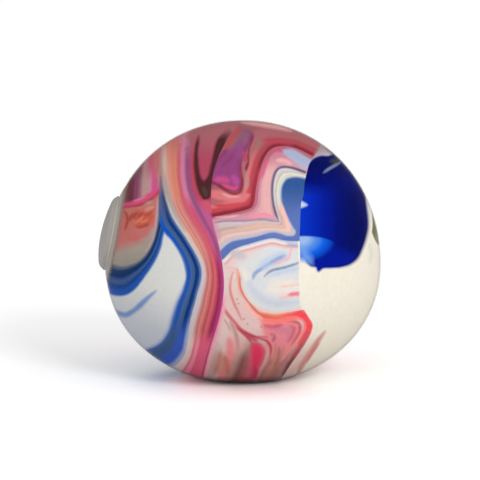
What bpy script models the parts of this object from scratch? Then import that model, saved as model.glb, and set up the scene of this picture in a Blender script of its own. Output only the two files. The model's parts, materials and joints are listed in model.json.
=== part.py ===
"""A squishy dough ball: a clear moulded skin, a glued fill plug and marbled dough in folded lumps.

Metres, +Z up. The origin is the middle of the flat patch that the sagging ball rests on. The fill
plug points to -X and a little up. The folds of the dough are drawn on the ball's face, which is seen
along +Y from a little above.
"""

import math

import bmesh
import bpy
from mathutils import Matrix, Vector

# The ball as it sags on a table
BALL_WIDTH = 0.067
BALL_HEIGHT = 0.0626
BELLY_HEIGHT = 0.0276
REST_PATCH_DIAMETER = 0.022
FULLNESS = 2.07  # power of the outline: 2 is an ellipse, more is squarer

# The skin and the fits
SKIN_WALL = 0.0015
FIT_GAP = 0.0003
SEAT_GAP = 0.00005

# The fill hole: its axis leaves the ball's upright centre line at this height
PLUG_AXIS_HEIGHT = 0.0290
PLUG_TILT = math.radians(11.0)
BORE_DIAMETER = 0.010
COLLAR_DIAMETER = 0.016
COLLAR_TIP_DIAMETER = 0.0145
COLLAR_DEPTH = 0.004

# The plug and its cured glue
HEAD_DIAMETER = 0.0182
HEAD_EDGE = 0.0010
HEAD_CROWN = 0.00265
HEAD_ROUND = 0.0009
STEM_TIP_DIAMETER = 0.0072
BARB_DIAMETER = 0.0124
BARB_WIDTH = 0.0012
STEM_LENGTH = 0.0080
STEM_HOLLOW_DIAMETER = 0.0046
STEM_HOLLOW_DEPTH = 0.0050
GLUE_DIAMETER = 0.0166
GLUE_THICKNESS = 0.0003

# How the folds run through the ball
FACE_RISE = math.radians(9.0)  # the face is drawn as seen from this far above level
FOLD_TWIST = math.radians(60.0)  # the folds turn this far from the ball's middle to its back

# Fold lines on the face, in units of which the dough is 276 wide, right of and above its middle
PLUG_FOLD = [
    (-90, 163), (-83, 94), (-83, 44), (-83, 24), (-79, 15), (-63, -6), (-57, -27), (-64, -56),
    (-75, -85), (-95, -100), (-118, -109), (-230, -167),
]
POCKET_FOLD = [
    (-30, 51), (-60, 33), (-79, 15), (-88, -8), (-102, -29), (-118, -44), (-135, -45), (-160, -37),
    (-230, -27),
]
STRIPE_FOLD = [
    (20, 163), (-7, 120), (-22, 97), (-31, 67), (-31, 34), (-25, 10), (-19, -28), (-20, -54),
    (-27, -82), (-36, -111), (-50, -167),
]
CREAM_FOLD = [
    (125, 163), (87, 103), (68, 87), (60, 63), (56, 18), (57, -41), (61, -61), (70, -75), (63, -92),
    (48, -114), (15, -167),
]
HEART_FOLD = [
    (-230, -37), (-60, -23), (-21, -11), (-9, 0), (7, 6), (28, 11), (56, 8), (90, 6),
    (230, -7),
]
CORAL_FOLD = [
    (-230, -57), (-60, -29), (-22, -18), (-9, -18), (-2, -29), (2, -46), (14, -59), (32, -64), (56, -61),
    (90, -55), (230, -51),
]

# Egg-shaped lumps pressed into the cream end: place from the face (-Y) round toward +X, and height
LOBE_DEPTH = 0.008
BLUE_AZIMUTH = math.radians(51.0)
BLUE_HEIGHT = 0.0425
BLUE_EGG = (0.040, 0.038, 0.046)  # through the surface, along it, upright
GREEN_AZIMUTH = math.radians(90.0)
GREEN_HEIGHT = 0.0375
GREEN_EGG = (0.010, 0.017, 0.012)
# The blue lump's outline on the face; past the cream fold it is cut off
BLUE_OUTLINE = [
    (40, 110), (90, 130), (150, 100), (150, 66), (120, 61), (125, 33), (124, 13), (114, -9), (98, -18),
    (80, -19), (74, -22), (66, -16), (60, -3), (40, 5),
]

# Facets
ROUND_STEPS = 44
UPPER_STEPS = 11
LOWER_STEPS = 9
PLUG_STEPS = 36
FOLD_STEPS = 3
TWIST_STEPS = 6

SEAT_REACH = math.sqrt((BALL_WIDTH / 2) ** 2 - (HEAD_DIAMETER / 2) ** 2)
HEAD_BASE = SEAT_REACH + 2 * SEAT_GAP + GLUE_THICKNESS
DOUGH_INSET = SKIN_WALL + FIT_GAP
BEYOND = 2 * BALL_WIDTH
FACE_UNIT = (BALL_WIDTH - 2 * DOUGH_INSET) / 276
FACE_MIDDLE = BALL_HEIGHT / 2


def ball_profile(inset):
    """Half outline of the ball, drawn in from the skin's outside by inset, top to bottom."""
    rest_share = (REST_PATCH_DIAMETER / BALL_WIDTH) ** FULLNESS
    half = BALL_WIDTH / 2 - inset
    above = BALL_HEIGHT - BELLY_HEIGHT - inset
    below = BELLY_HEIGHT / (1 - rest_share) ** (1 / FULLNESS) - inset
    rest_angle = math.asin(((BELLY_HEIGHT - inset) / below) ** (FULLNESS / 2))
    angles = [math.pi / 2 * (1 - i / UPPER_STEPS) for i in range(1, UPPER_STEPS)]
    angles += [-rest_angle * i / LOWER_STEPS for i in range(LOWER_STEPS + 1)]
    points = [(0.0, BALL_HEIGHT - inset)]
    for angle in angles:
        radius = half * math.cos(angle) ** (2 / FULLNESS)
        rise = abs(math.sin(angle)) ** (2 / FULLNESS)
        points.append((radius, BELLY_HEIGHT + (above * rise if angle > 0 else -below * rise)))
    points.append((0.0, inset))
    return points


def material(name, colour, roughness, alpha=1.0):
    made = bpy.data.materials.new(name)
    made.use_nodes = True
    shader = made.node_tree.nodes["Principled BSDF"]
    shader.inputs["Base Color"].default_value = (*colour, 1.0)
    shader.inputs["Roughness"].default_value = roughness
    shader.inputs["Alpha"].default_value = alpha
    return made


def place(obj, collection, surface=None):
    for held in list(obj.users_collection):
        held.objects.unlink(obj)
    collection.objects.link(obj)
    if surface:
        obj.data.materials.append(surface)
    else:
        obj.hide_render = True
        obj.display_type = "WIRE"
    return obj


def turned(name, profile, steps, collection, surface=None, axis=None, closed=False):
    """A solid turned round its own Z from (radius, height) points that run down its outer side."""
    mesh = bpy.data.meshes.new(name)
    edges = [(i, i + 1) for i in range(len(profile) - 1)]
    if closed:
        edges.append((len(profile) - 1, 0))
    mesh.from_pydata([(radius, 0.0, height) for radius, height in profile], edges, [])
    obj = place(bpy.data.objects.new(name, mesh), collection, surface)
    obj.parent = axis
    screw = obj.modifiers.new("turn", "SCREW")
    screw.axis = "Z"
    screw.steps = steps
    screw.render_steps = steps
    screw.use_merge_vertices = True
    screw.merge_threshold = 0.00001
    return obj


def combine(obj, operation, other, solver="EXACT"):
    """Cut or join; the dough's folds meet at fine angles, which only the MANIFOLD solver closes."""
    step = obj.modifiers.new(operation.lower(), "BOOLEAN")
    step.operation = operation
    step.solver = solver
    step.object = other


def smooth_line(points, closed=False):
    """A smooth line through points of the face, in metres from the ball's middle."""
    knots = [FACE_UNIT * Vector(point) for point in points]
    if closed:
        knots = [knots[-1], *knots, knots[0], knots[1]]
    line = []
    for i in range(1 if closed else 0, len(knots) - (2 if closed else 1)):
        start, end = knots[i], knots[i + 1]
        leave = (end - knots[max(i - 1, 0)]) / 2
        arrive = (knots[min(i + 2, len(knots) - 1)] - start) / 2
        for step in range(FOLD_STEPS):
            t = step / FOLD_STEPS
            line.append(
                start * (2 * t**3 - 3 * t**2 + 1) + leave * (t**3 - 2 * t**2 + t)
                + end * (3 * t**2 - 2 * t**3) + arrive * (t**3 - t**2)
            )
    return line if closed else [*line, knots[-1]]


def shifted(line, distance, closed=False):
    """The same line, moved to its left hand by a distance."""
    moved = []
    for i, point in enumerate(line):
        after = line[(i + 1) % len(line)] if closed else line[min(i + 1, len(line) - 1)]
        before = line[i - 1] if closed else line[max(i - 1, 0)]
        run = (after - before).normalized()
        moved.append(point + distance * Vector((-run.y, run.x)))
    return moved


def prism(name, outline, twist=0.0):
    """A block with an outline on the face, which runs right through the ball along the view.

    Behind the middle it turns about the view, slowly at first, by the twist at the ball's back.
    """
    curve = bpy.data.curves.new(name, "CURVE")
    curve.dimensions = "2D"
    curve.fill_mode = "BOTH"
    curve.extrude = BALL_WIDTH
    spline = curve.splines.new("POLY")
    spline.points.add(len(outline) - 1)
    for held, point in zip(spline.points, outline):
        held.co = (point.x, point.y, 0.0, 1.0)
    spline.use_cyclic_u = True
    drawn = bpy.data.objects.new(name + " outline", curve)
    cutters.objects.link(drawn)
    graph = bpy.context.evaluated_depsgraph_get()
    mesh = bpy.data.meshes.new_from_object(drawn.evaluated_get(graph))
    bpy.data.objects.remove(drawn)
    welded = bmesh.new()
    welded.from_mesh(mesh)
    bmesh.ops.remove_doubles(welded, verts=welded.verts, dist=0.000001)
    bmesh.ops.recalc_face_normals(welded, faces=welded.faces)
    for step in range(TWIST_STEPS):
        level = -step / TWIST_STEPS * BALL_WIDTH / 2
        whole = [*welded.verts, *welded.edges, *welded.faces]
        bmesh.ops.bisect_plane(welded, geom=whole, plane_co=(0, 0, level), plane_no=(0, 0, 1))
    bmesh.ops.triangulate(welded, faces=welded.faces, quad_method="FIXED")
    for corner in welded.verts:
        depth = min(max(-corner.co.z / (BALL_WIDTH / 2), 0.0), 1.0)
        corner.co.rotate(Matrix.Rotation(twist * depth**2, 3, "Z"))
    welded.to_mesh(mesh)
    welded.free()
    obj = place(bpy.data.objects.new(name, mesh), cutters)
    obj.location = (0.0, 0.0, FACE_MIDDLE)
    obj.rotation_euler = (math.pi / 2 - FACE_RISE, 0.0, 0.0)
    return obj


def fold(name, points, side):
    """Two blocks on one side of a fold, which turn behind the middle: one to keep the lump there,
    and one that is a fit gap larger, to cut the lumps on the other side.

    Side 1 is on the left hand of the line as it runs, side -1 on its right hand.
    """
    line = smooth_line(points)
    run = (line[-1] - line[0]).normalized()
    away = side * BEYOND * Vector((-run.y, run.x))
    blocks = []
    for use, inward in (("side", FIT_GAP / 2), ("room", -FIT_GAP / 2)):
        outline = [*shifted(line, side * inward), line[-1] + away, line[0] + away]
        blocks.append(prism(f"{name} {use}", outline, FOLD_TWIST))
    return blocks


def lobe(name, size, azimuth, height, surface=None, outline=None):
    """An egg of dough pressed into the filling's side; with no surface, the room for one."""
    gap = 0.0 if surface else FIT_GAP
    rise = (height - BELLY_HEIGHT) / (BALL_HEIGHT - BELLY_HEIGHT - DOUGH_INSET)
    reach = (BALL_WIDTH / 2 - DOUGH_INSET) * (1 - abs(rise) ** FULLNESS) ** (1 / FULLNESS)
    bpy.ops.mesh.primitive_uv_sphere_add(segments=28, ring_count=18, radius=1.0)
    egg = place(bpy.context.object, parts if surface else cutters, surface)
    egg.name = name
    egg.scale = [side / 2 + gap for side in size]
    egg.rotation_euler = (0.0, 0.0, azimuth - math.pi / 2)
    egg.location = (reach * math.sin(azimuth), -reach * math.cos(azimuth), height)
    if outline:
        edge = shifted(smooth_line(outline, closed=True), gap, closed=True)
        combine(egg, "INTERSECT", prism(name + " edge", edge), "MANIFOLD")
    core = ball_profile(DOUGH_INSET + LOBE_DEPTH + gap)
    combine(egg, "DIFFERENCE", turned(name + " core", core, ROUND_STEPS, cutters), "MANIFOLD")
    if surface:
        combine(egg, "INTERSECT", filling, "MANIFOLD")
    return egg


def dough(name, surface, sides, rooms):
    """One lump of the filling: the space in the skin on these sides of the folds, less these rooms."""
    obj = turned(name, ball_profile(DOUGH_INSET), ROUND_STEPS, parts, surface)
    for side in sides:
        combine(obj, "INTERSECT", side, "MANIFOLD")
    for room in rooms:
        combine(obj, "DIFFERENCE", room, "MANIFOLD")


for old in list(bpy.data.objects):
    bpy.data.objects.remove(old)
parts = bpy.data.collections.new("squishy dough ball")
cutters = bpy.data.collections.new("cutters")
bpy.context.scene.collection.children.link(parts)
bpy.context.scene.collection.children.link(cutters)

clear = material("clear skin", (0.86, 0.85, 0.84), 0.45, 0.35)
frosted = material("frosted plug", (0.62, 0.61, 0.59), 0.4)
glue = material("cured glue", (0.78, 0.75, 0.66), 0.3)
rose = material("rose dough", (0.55, 0.16, 0.16), 0.55)
white = material("white dough", (0.74, 0.76, 0.79), 0.55)
coral = material("coral dough", (0.78, 0.36, 0.30), 0.55)
crimson = material("crimson dough", (0.45, 0.10, 0.17), 0.55)
cream = material("cream dough", (0.86, 0.82, 0.70), 0.55)
blue = material("blue dough", (0.01, 0.03, 0.38), 0.55)
olive = material("olive dough", (0.28, 0.29, 0.16), 0.55)

# The plug's own axis: local Z runs out of the ball through the middle of the fill hole
plug_axis = bpy.data.objects.new("plug axis", None)
plug_axis.location = (0.0, 0.0, PLUG_AXIS_HEIGHT)
plug_axis.rotation_euler = (0.0, PLUG_TILT - math.pi / 2, 0.0)
cutters.objects.link(plug_axis)

# Skin: a shell with a collar inside the fill hole and a flat seat outside it
skin = turned("skin", ball_profile(0.0), ROUND_STEPS, parts, clear)
cavity = turned("cavity", ball_profile(SKIN_WALL), ROUND_STEPS, cutters)
collar = turned(
    "collar",
    [
        (0.0, SEAT_REACH + SKIN_WALL),
        (COLLAR_DIAMETER / 2, SEAT_REACH + SKIN_WALL),
        (COLLAR_DIAMETER / 2, SEAT_REACH - COLLAR_DEPTH / 2),
        (COLLAR_TIP_DIAMETER / 2, SEAT_REACH - COLLAR_DEPTH),
        (0.0, SEAT_REACH - COLLAR_DEPTH),
    ],
    PLUG_STEPS, cutters, axis=plug_axis,
)
above_seat = turned(
    "above seat",
    [
        (0.0, SEAT_REACH + HEAD_DIAMETER),
        (HEAD_DIAMETER, SEAT_REACH + HEAD_DIAMETER),
        (HEAD_DIAMETER, SEAT_REACH),
        (0.0, SEAT_REACH),
    ],
    PLUG_STEPS, cutters, axis=plug_axis,
)
bore = turned(
    "bore",
    [
        (0.0, SEAT_REACH + SKIN_WALL),
        (BORE_DIAMETER / 2, SEAT_REACH + SKIN_WALL),
        (BORE_DIAMETER / 2, SEAT_REACH - 2 * COLLAR_DEPTH),
        (0.0, SEAT_REACH - 2 * COLLAR_DEPTH),
    ],
    PLUG_STEPS, cutters, axis=plug_axis,
)
combine(skin, "DIFFERENCE", cavity)
combine(skin, "UNION", collar)
combine(skin, "DIFFERENCE", above_seat)
combine(skin, "DIFFERENCE", bore)

# Plug: a domed head, a stem that fits the bore, a barb behind the collar and a hollow end
barb_start = SEAT_REACH - COLLAR_DEPTH - FIT_GAP
stem_radius = BORE_DIAMETER / 2 - FIT_GAP
stem_end = SEAT_REACH - STEM_LENGTH
head_edge = HEAD_BASE + HEAD_EDGE
head_profile = [(0.0, HEAD_BASE + HEAD_CROWN)]
for share in (0.2, 0.4, 0.6, 0.8):
    radius = share * (HEAD_DIAMETER / 2 - HEAD_ROUND)
    head_profile.append((radius, head_edge + (HEAD_CROWN - HEAD_EDGE) * (1 - share**2)))
for turn in range(5):
    angle = math.radians(90 - 22.5 * turn)
    head_profile.append(
        (
            HEAD_DIAMETER / 2 - HEAD_ROUND * (1 - math.cos(angle)),
            head_edge - HEAD_ROUND * (1 - math.sin(angle)),
        )
    )
plug = turned(
    "fill_plug",
    head_profile
    + [
        (HEAD_DIAMETER / 2, HEAD_BASE),
        (stem_radius, HEAD_BASE),
        (stem_radius, barb_start),
        (BARB_DIAMETER / 2, barb_start),
        (BARB_DIAMETER / 2, barb_start - BARB_WIDTH),
        (STEM_TIP_DIAMETER / 2, stem_end),
        (STEM_HOLLOW_DIAMETER / 2, stem_end),
        (STEM_HOLLOW_DIAMETER / 2, stem_end + STEM_HOLLOW_DEPTH),
        (0.0, stem_end + STEM_HOLLOW_DEPTH),
    ],
    PLUG_STEPS, parts, frosted, plug_axis,
)
glue_base = SEAT_REACH + SEAT_GAP
turned(
    "glue_ring",
    [
        (BORE_DIAMETER / 2, glue_base + GLUE_THICKNESS),
        (GLUE_DIAMETER / 2, glue_base + GLUE_THICKNESS),
        (GLUE_DIAMETER / 2, glue_base),
        (BORE_DIAMETER / 2, glue_base),
    ],
    PLUG_STEPS, parts, glue, plug_axis, closed=True,
)

# Room for the collar and the barb in the dough at the plug end
neck_room = turned(
    "neck room",
    [
        (0.0, SEAT_REACH + SKIN_WALL),
        (COLLAR_DIAMETER / 2 + FIT_GAP, SEAT_REACH + SKIN_WALL),
        (COLLAR_DIAMETER / 2 + FIT_GAP, barb_start),
        (BARB_DIAMETER / 2 + FIT_GAP, barb_start),
        (BARB_DIAMETER / 2 + FIT_GAP, stem_end - FIT_GAP),
        (0.0, stem_end - FIT_GAP),
    ],
    PLUG_STEPS, cutters, axis=plug_axis,
)

# Dough: lumps between the folds, with two lobes pressed into the cream end
plug_side, plug_room = fold("plug fold", PLUG_FOLD, -1)
over_pocket, over_pocket_room = fold("pocket fold", POCKET_FOLD, -1)
stripe_side, stripe_room = fold("stripe fold", STRIPE_FOLD, -1)
swirl_side, swirl_room = fold("cream fold", CREAM_FOLD, -1)
over_heart, over_heart_room = fold("heart fold", HEART_FOLD, 1)
over_coral, over_coral_room = fold("coral fold", CORAL_FOLD, 1)
filling = turned("filling", ball_profile(DOUGH_INSET), ROUND_STEPS, cutters)
blue_room = lobe("blue room", BLUE_EGG, BLUE_AZIMUTH, BLUE_HEIGHT, outline=BLUE_OUTLINE)
green_room = lobe("green room", GREEN_EGG, GREEN_AZIMUTH, GREEN_HEIGHT)

dough("dough_plug_end", rose, [plug_side, over_pocket], [neck_room])
dough("dough_white_pocket", white, [plug_side], [over_pocket_room, neck_room])
dough("dough_striped_fold", coral, [stripe_side], [plug_room])
dough("dough_swirl_fold", crimson, [swirl_side, over_heart], [stripe_room])
dough("dough_white_heart", white, [swirl_side, over_coral], [stripe_room, over_heart_room])
dough("dough_coral_tongue", coral, [swirl_side], [stripe_room, over_coral_room])
dough("dough_cream_end", cream, [], [swirl_room, blue_room, green_room])
blue_lobe = lobe("dough_blue_lobe", BLUE_EGG, BLUE_AZIMUTH, BLUE_HEIGHT, blue, BLUE_OUTLINE)
combine(blue_lobe, "DIFFERENCE", swirl_room, "MANIFOLD")
green_lobe = lobe("dough_green_lobe", GREEN_EGG, GREEN_AZIMUTH, GREEN_HEIGHT, olive)
combine(green_lobe, "DIFFERENCE", swirl_room, "MANIFOLD")
combine(green_lobe, "DIFFERENCE", blue_room, "MANIFOLD")
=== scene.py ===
# %% [markdown]
# # A marbled squishy ball
#
# The real toy is a clear, soft rubber skin, filled with dough in many colours and closed with a glued
# plug. The dough went in as folded lumps, so the marbling breaks off sharply where two lumps meet.
# This lesson takes the part's solids as a fixed frame and draws every piece again with its own surface.

# %% Load the frame
import json
import math

import bpy
import numpy as np
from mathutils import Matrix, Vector


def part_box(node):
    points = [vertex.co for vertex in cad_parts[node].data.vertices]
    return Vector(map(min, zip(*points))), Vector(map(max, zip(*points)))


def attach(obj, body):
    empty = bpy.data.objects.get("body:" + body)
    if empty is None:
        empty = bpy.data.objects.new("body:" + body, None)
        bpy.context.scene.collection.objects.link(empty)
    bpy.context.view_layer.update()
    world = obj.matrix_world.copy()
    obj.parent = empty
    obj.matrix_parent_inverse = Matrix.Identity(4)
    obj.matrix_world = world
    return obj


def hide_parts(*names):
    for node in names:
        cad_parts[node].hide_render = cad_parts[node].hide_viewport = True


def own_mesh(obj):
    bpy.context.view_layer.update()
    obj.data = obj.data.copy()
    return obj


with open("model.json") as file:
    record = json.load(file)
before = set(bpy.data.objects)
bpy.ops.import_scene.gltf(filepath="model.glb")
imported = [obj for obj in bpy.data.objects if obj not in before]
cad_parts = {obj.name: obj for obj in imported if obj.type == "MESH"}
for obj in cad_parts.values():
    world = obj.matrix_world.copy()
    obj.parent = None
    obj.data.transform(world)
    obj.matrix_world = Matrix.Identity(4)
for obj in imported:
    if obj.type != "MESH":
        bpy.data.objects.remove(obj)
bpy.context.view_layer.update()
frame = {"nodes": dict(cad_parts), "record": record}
skin_low, skin_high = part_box("skin")
ball_width = skin_high.y - skin_low.y
ball_height = skin_high.z
print("ball", round(ball_width * 1000, 1), "mm wide,", round(ball_height * 1000, 1), "mm tall")

# %% [markdown]
# ## The photograph's view
#
# The camera looks along +Y from 9 degrees above level, through a long lens. The marbling is drawn from
# guide points that were read in the photograph's own pixels, so one cell ties pixels to metres:
# the ball is 276 pixels wide and its middle is at pixel (243, 249).

# %% Tie pixels to metres
VIEW_RISE = math.radians(9.0)
PHOTO_SIDE = 480
BALL_PIXELS = 276
MIDDLE_PIXEL = (243.0, 249.0)
CAMERA_DISTANCE = 3.0
SENSOR = 36.0

pixel = ball_width / BALL_PIXELS
middle = Vector((0.0, 0.0, ball_height / 2))
RIGHT = Vector((1.0, 0.0, 0.0))
UP = Vector((0.0, math.sin(VIEW_RISE), math.cos(VIEW_RISE)))
TOWARD = Vector((0.0, -math.cos(VIEW_RISE), math.sin(VIEW_RISE)))

centre = PHOTO_SIDE / 2
aim = middle + pixel * ((centre - MIDDLE_PIXEL[0]) * RIGHT + (MIDDLE_PIXEL[1] - centre) * UP)
bpy.ops.object.camera_add(location=aim + CAMERA_DISTANCE * TOWARD)
camera = bpy.context.object
camera.rotation_euler = (math.pi / 2 - VIEW_RISE, 0.0, 0.0)
camera.data.sensor_width = SENSOR
camera.data.lens = SENSOR * CAMERA_DISTANCE / (PHOTO_SIDE * pixel)
bpy.context.scene.camera = camera
print("one pixel is", round(pixel * 1000, 4), "mm")

# %% [markdown]
# ## Small helpers
#
# Operators act on what is selected, so each step first selects just its own piece. Cuts are Boolean
# modifiers, applied at once. The MANIFOLD solver is quick on closed meshes with many faces.


# %% Helpers for selecting and cutting
def only(obj):
    """Select one object and make it active."""
    bpy.ops.object.select_all(action="DESELECT")
    obj.select_set(True)
    bpy.context.view_layer.objects.active = obj
    return obj


def cut(obj, operation, other):
    step = only(obj).modifiers.new("cut", "BOOLEAN")
    step.operation = operation
    step.solver = "MANIFOLD"
    step.object = other
    bpy.ops.object.modifier_apply(modifier=step.name)


def twin(obj, name):
    copy = obj.copy()
    copy.data = obj.data.copy()
    copy.name = name
    bpy.context.scene.collection.objects.link(copy)
    return copy


def corners(obj):
    """The object's vertices as an array of points."""
    flat = np.empty(len(obj.data.vertices) * 3, np.float32)
    obj.data.vertices.foreach_get("co", flat)
    return flat.reshape(-1, 3).astype(float)


def move_corners(obj, points):
    obj.data.vertices.foreach_set("co", points.astype(np.float32).ravel())
    obj.data.update()


def drop(*objects):
    for obj in objects:
        bpy.data.objects.remove(obj)


# %% [markdown]
# ## The sagging ball
#
# The ball is soft and heavy: it rests on a flat patch and its belly is below mid height. A fine
# icosphere has even faces all over, and its points are moved out to the part's own profile, a slightly
# squared ellipse above and below the belly. The belly's level and the patch come from the part's skin.

# %% Shape a ball at any depth below the skin's surface
FULLNESS = 2.07
UPPER_FULLNESS = 2.10
PATCH_SOFTNESS = 0.0003
FLATNESS = 0.00001

skin_points = corners(frame["nodes"]["skin"])
reach = np.hypot(skin_points[:, 0], skin_points[:, 1])
belly = skin_points[np.argmax(reach), 2]
patch_radius = reach[skin_points[:, 2] < FLATNESS].max()
patch_share = (2 * patch_radius / ball_width) ** FULLNESS
full_drop = belly / (1 - patch_share) ** (1 / FULLNESS)
print("belly at", round(belly * 1000, 1), "mm, patch radius", round(patch_radius * 1000, 1), "mm")


def ball(name, depth, fineness):
    """A closed ball whose surface lies a depth below the skin's outer face."""
    bpy.ops.mesh.primitive_ico_sphere_add(subdivisions=fineness, radius=1.0)
    obj = only(bpy.context.object)
    obj.name = name
    unit = corners(obj)
    unit /= np.linalg.norm(unit, axis=1)[:, None]
    level = np.hypot(unit[:, 0], unit[:, 1])
    power = 2 / np.where(unit[:, 2] > 0, UPPER_FULLNESS, FULLNESS)
    radius = (ball_width / 2 - depth) * level**power
    rise = np.abs(unit[:, 2]) ** power
    above = (ball_height - belly - depth) * rise
    below = (full_drop - depth) * rise
    height = np.where(unit[:, 2] > 0, belly + above, belly - below) - depth
    height = depth + (height + np.sqrt(height**2 + PATCH_SOFTNESS**2)) / 2
    spread = radius / np.maximum(level, 1e-9)
    move_corners(obj, np.column_stack([unit[:, :2] * spread[:, None], height]))
    return obj


# %% [markdown]
# ## The folds
#
# Each fold between two lumps was read along its line on the ball's face. A block with that line as its
# edge is extruded through the ball along the view. Behind the ball's middle the block turns about the
# view, as the part's folds do, so that the back isn't a mirror image of the front.

# %% Fold lines, in pixels
PLUG_FOLD = [
    (157, 60), (158, 130), (159.5, 155), (160, 180), (159.5, 205), (160.2, 221), (163, 229),
    (167.4, 234), (171.4, 238.2), (177, 246), (182.8, 256), (186.2, 266), (187.4, 276), (184.4, 289),
    (178.2, 304), (174.2, 317), (169, 333), (160.5, 344), (148, 350), (125, 358), (20, 400),
]
POCKET_FOLD = [
    (240, 180), (190, 212), (164.4, 231.6), (160.4, 247), (156, 258), (149.3, 269.3), (142.2, 279.4),
    (133.8, 289.2), (125, 294.2), (117, 294.6), (108, 292.4), (20, 275),
]
STRIPE_FOLD = [
    (275, 60), (236, 129), (228, 140), (221, 152), (215, 168), (212, 182), (211.5, 200), (212, 215),
    (214, 227), (217.5, 239), (220.5, 251), (222.5, 263), (224, 277), (224, 290), (222.5, 303),
    (219.5, 317), (215.5, 331), (211, 345), (207, 360), (203, 377), (185, 440),
]
CREAM_FOLD = [
    (352, 60), (325, 139), (320.5, 147), (317, 152.5), (312.6, 158), (309, 164), (306.3, 173),
    (304, 184), (303, 195), (300.7, 203), (300, 211), (299.5, 225), (299, 240), (299.5, 255),
    (300, 290), (301, 303), (304, 310), (307.8, 316), (312, 323), (311, 331), (306, 341), (299, 352),
    (291, 363), (284, 374), (250, 430),
]
HEART_FOLD = [
    (20, 285), (180, 272), (215, 264), (222, 260), (226, 256), (232, 250.5), (240, 246.5), (250, 243.5),
    (262, 240), (272, 238), (285, 240.5), (299, 241), (330, 242), (470, 255),
]
CORAL_FOLD = [
    (20, 305), (180, 277), (222, 268), (230, 266), (237, 268), (240.5, 276), (241, 285), (245, 295),
    (252, 304), (262, 310), (275, 312.5), (290, 311), (303, 309), (335, 304), (470, 300),
]

# %% Build the blocks that cut the folds
FOLD_TWIST = math.radians(60.0)
CURVE_STEPS = 5
BLOCK_RINGS = 20
BEYOND_PIXELS = 560


def smooth(points, closed=False):
    """A smooth line through guide points, which may lie unevenly far apart."""
    knots = np.array(points, float)
    if closed:
        knots = np.vstack([knots[-1], knots, knots[:2]])
    else:
        knots = np.vstack([2 * knots[0] - knots[1], knots, 2 * knots[-1] - knots[-2]])
    steps = np.diff(knots, axis=0)
    lengths = np.hypot(steps[:, 0], steps[:, 1])[:, None]
    before, after = lengths[:-1], lengths[1:]
    slopes = (steps[:-1] / before * after + steps[1:] / after * before) / (before + after)
    start, end = knots[1:-2, None], knots[2:-1, None]
    leave, arrive = (slopes[:-1] * lengths[1:-1])[:, None], (slopes[1:] * lengths[1:-1])[:, None]
    t = np.linspace(0, 1, CURVE_STEPS, endpoint=False)[None, :, None]
    line = (
        start * (2 * t**3 - 3 * t**2 + 1) + leave * (t**3 - 2 * t**2 + t)
        + end * (3 * t**2 - 2 * t**3) + arrive * (t**3 - t**2)
    ).reshape(-1, 2)
    last = line[:1] if closed else knots[-2:-1]
    return np.vstack([line, last])


def twist_at(depth):
    """How far the dough has turned at a depth behind the ball's middle."""
    return FOLD_TWIST * np.clip(depth / (ball_width / 2), 0, 1) ** 2


def block(name, outline):
    """Extrude an outline in pixels through the ball, and turn it behind the middle."""
    face = [
        middle + ball_width * TOWARD
        + pixel * (float(x - MIDDLE_PIXEL[0]) * RIGHT + float(MIDDLE_PIXEL[1] - y) * UP)
        for x, y in outline
    ]
    mesh = bpy.data.meshes.new(name)
    mesh.from_pydata(face, [], [range(len(face))])
    obj = bpy.data.objects.new(name, mesh)
    bpy.context.scene.collection.objects.link(obj)
    only(obj)
    bpy.ops.object.mode_set(mode="EDIT")
    bpy.ops.mesh.select_all(action="SELECT")
    front = [ball_width]
    back = [ball_width / 2 / BLOCK_RINGS] * BLOCK_RINGS + [ball_width / 2]
    for step in front + back:
        bpy.ops.mesh.extrude_region_move(TRANSFORM_OT_translate={"value": -step * TOWARD})
    bpy.ops.mesh.select_all(action="SELECT")
    bpy.ops.mesh.normals_make_consistent(inside=False)
    bpy.ops.object.mode_set(mode="OBJECT")
    points = corners(obj) - middle
    turn = twist_at(-points @ np.array(TOWARD))
    across, along, out = (points @ np.array(axis) for axis in (RIGHT, UP, TOWARD))
    turned = (
        np.outer(across * np.cos(turn) - along * np.sin(turn), RIGHT)
        + np.outer(across * np.sin(turn) + along * np.cos(turn), UP)
        + np.outer(out, TOWARD)
    )
    move_corners(obj, turned + np.array(middle))
    return obj


def fold(name, points, away):
    """The block on one side of a fold, away being the pixel direction of that side."""
    line = [tuple(point) for point in smooth(points)]
    far = BEYOND_PIXELS * np.array(away)
    return block(name, line + [tuple(line[-1] + far), tuple(line[0] + far)])


plug_side = fold("plug_side", PLUG_FOLD, (-1, 0))
over_pocket = fold("over_pocket", POCKET_FOLD, (-0.4, -0.9))
stripe_side = fold("stripe_side", STRIPE_FOLD, (-1, 0))
swirl_side = fold("swirl_side", CREAM_FOLD, (-1, 0))
over_heart = fold("over_heart", HEART_FOLD, (0, -1))
over_coral = fold("over_coral", CORAL_FOLD, (0, -1))

# %% [markdown]
# ## The lumps of dough
#
# One fine ball, a quarter of a millimetre under the skin, is split by the blocks, one fold at a time.
# Both halves of a split share the same cut face, so the lumps fill the skin with no gap at the surface.
# A clear wall works as a lens that makes the dough look as if it reached the skin's outer face. A thin
# film with the dough just under it gives that look from every side.

# %% Split the ball into lumps
FILM = 0.0002
DOUGH_DEPTH = 0.00025
FINENESS = 8


def split(obj, cutter, inside, outside):
    """Cut a lump in two: what lies in the cutter, and what lies outside it."""
    other = twin(obj, outside)
    obj.name = inside
    cut(obj, "INTERSECT", cutter)
    cut(other, "DIFFERENCE", cutter)
    return obj, other


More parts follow.
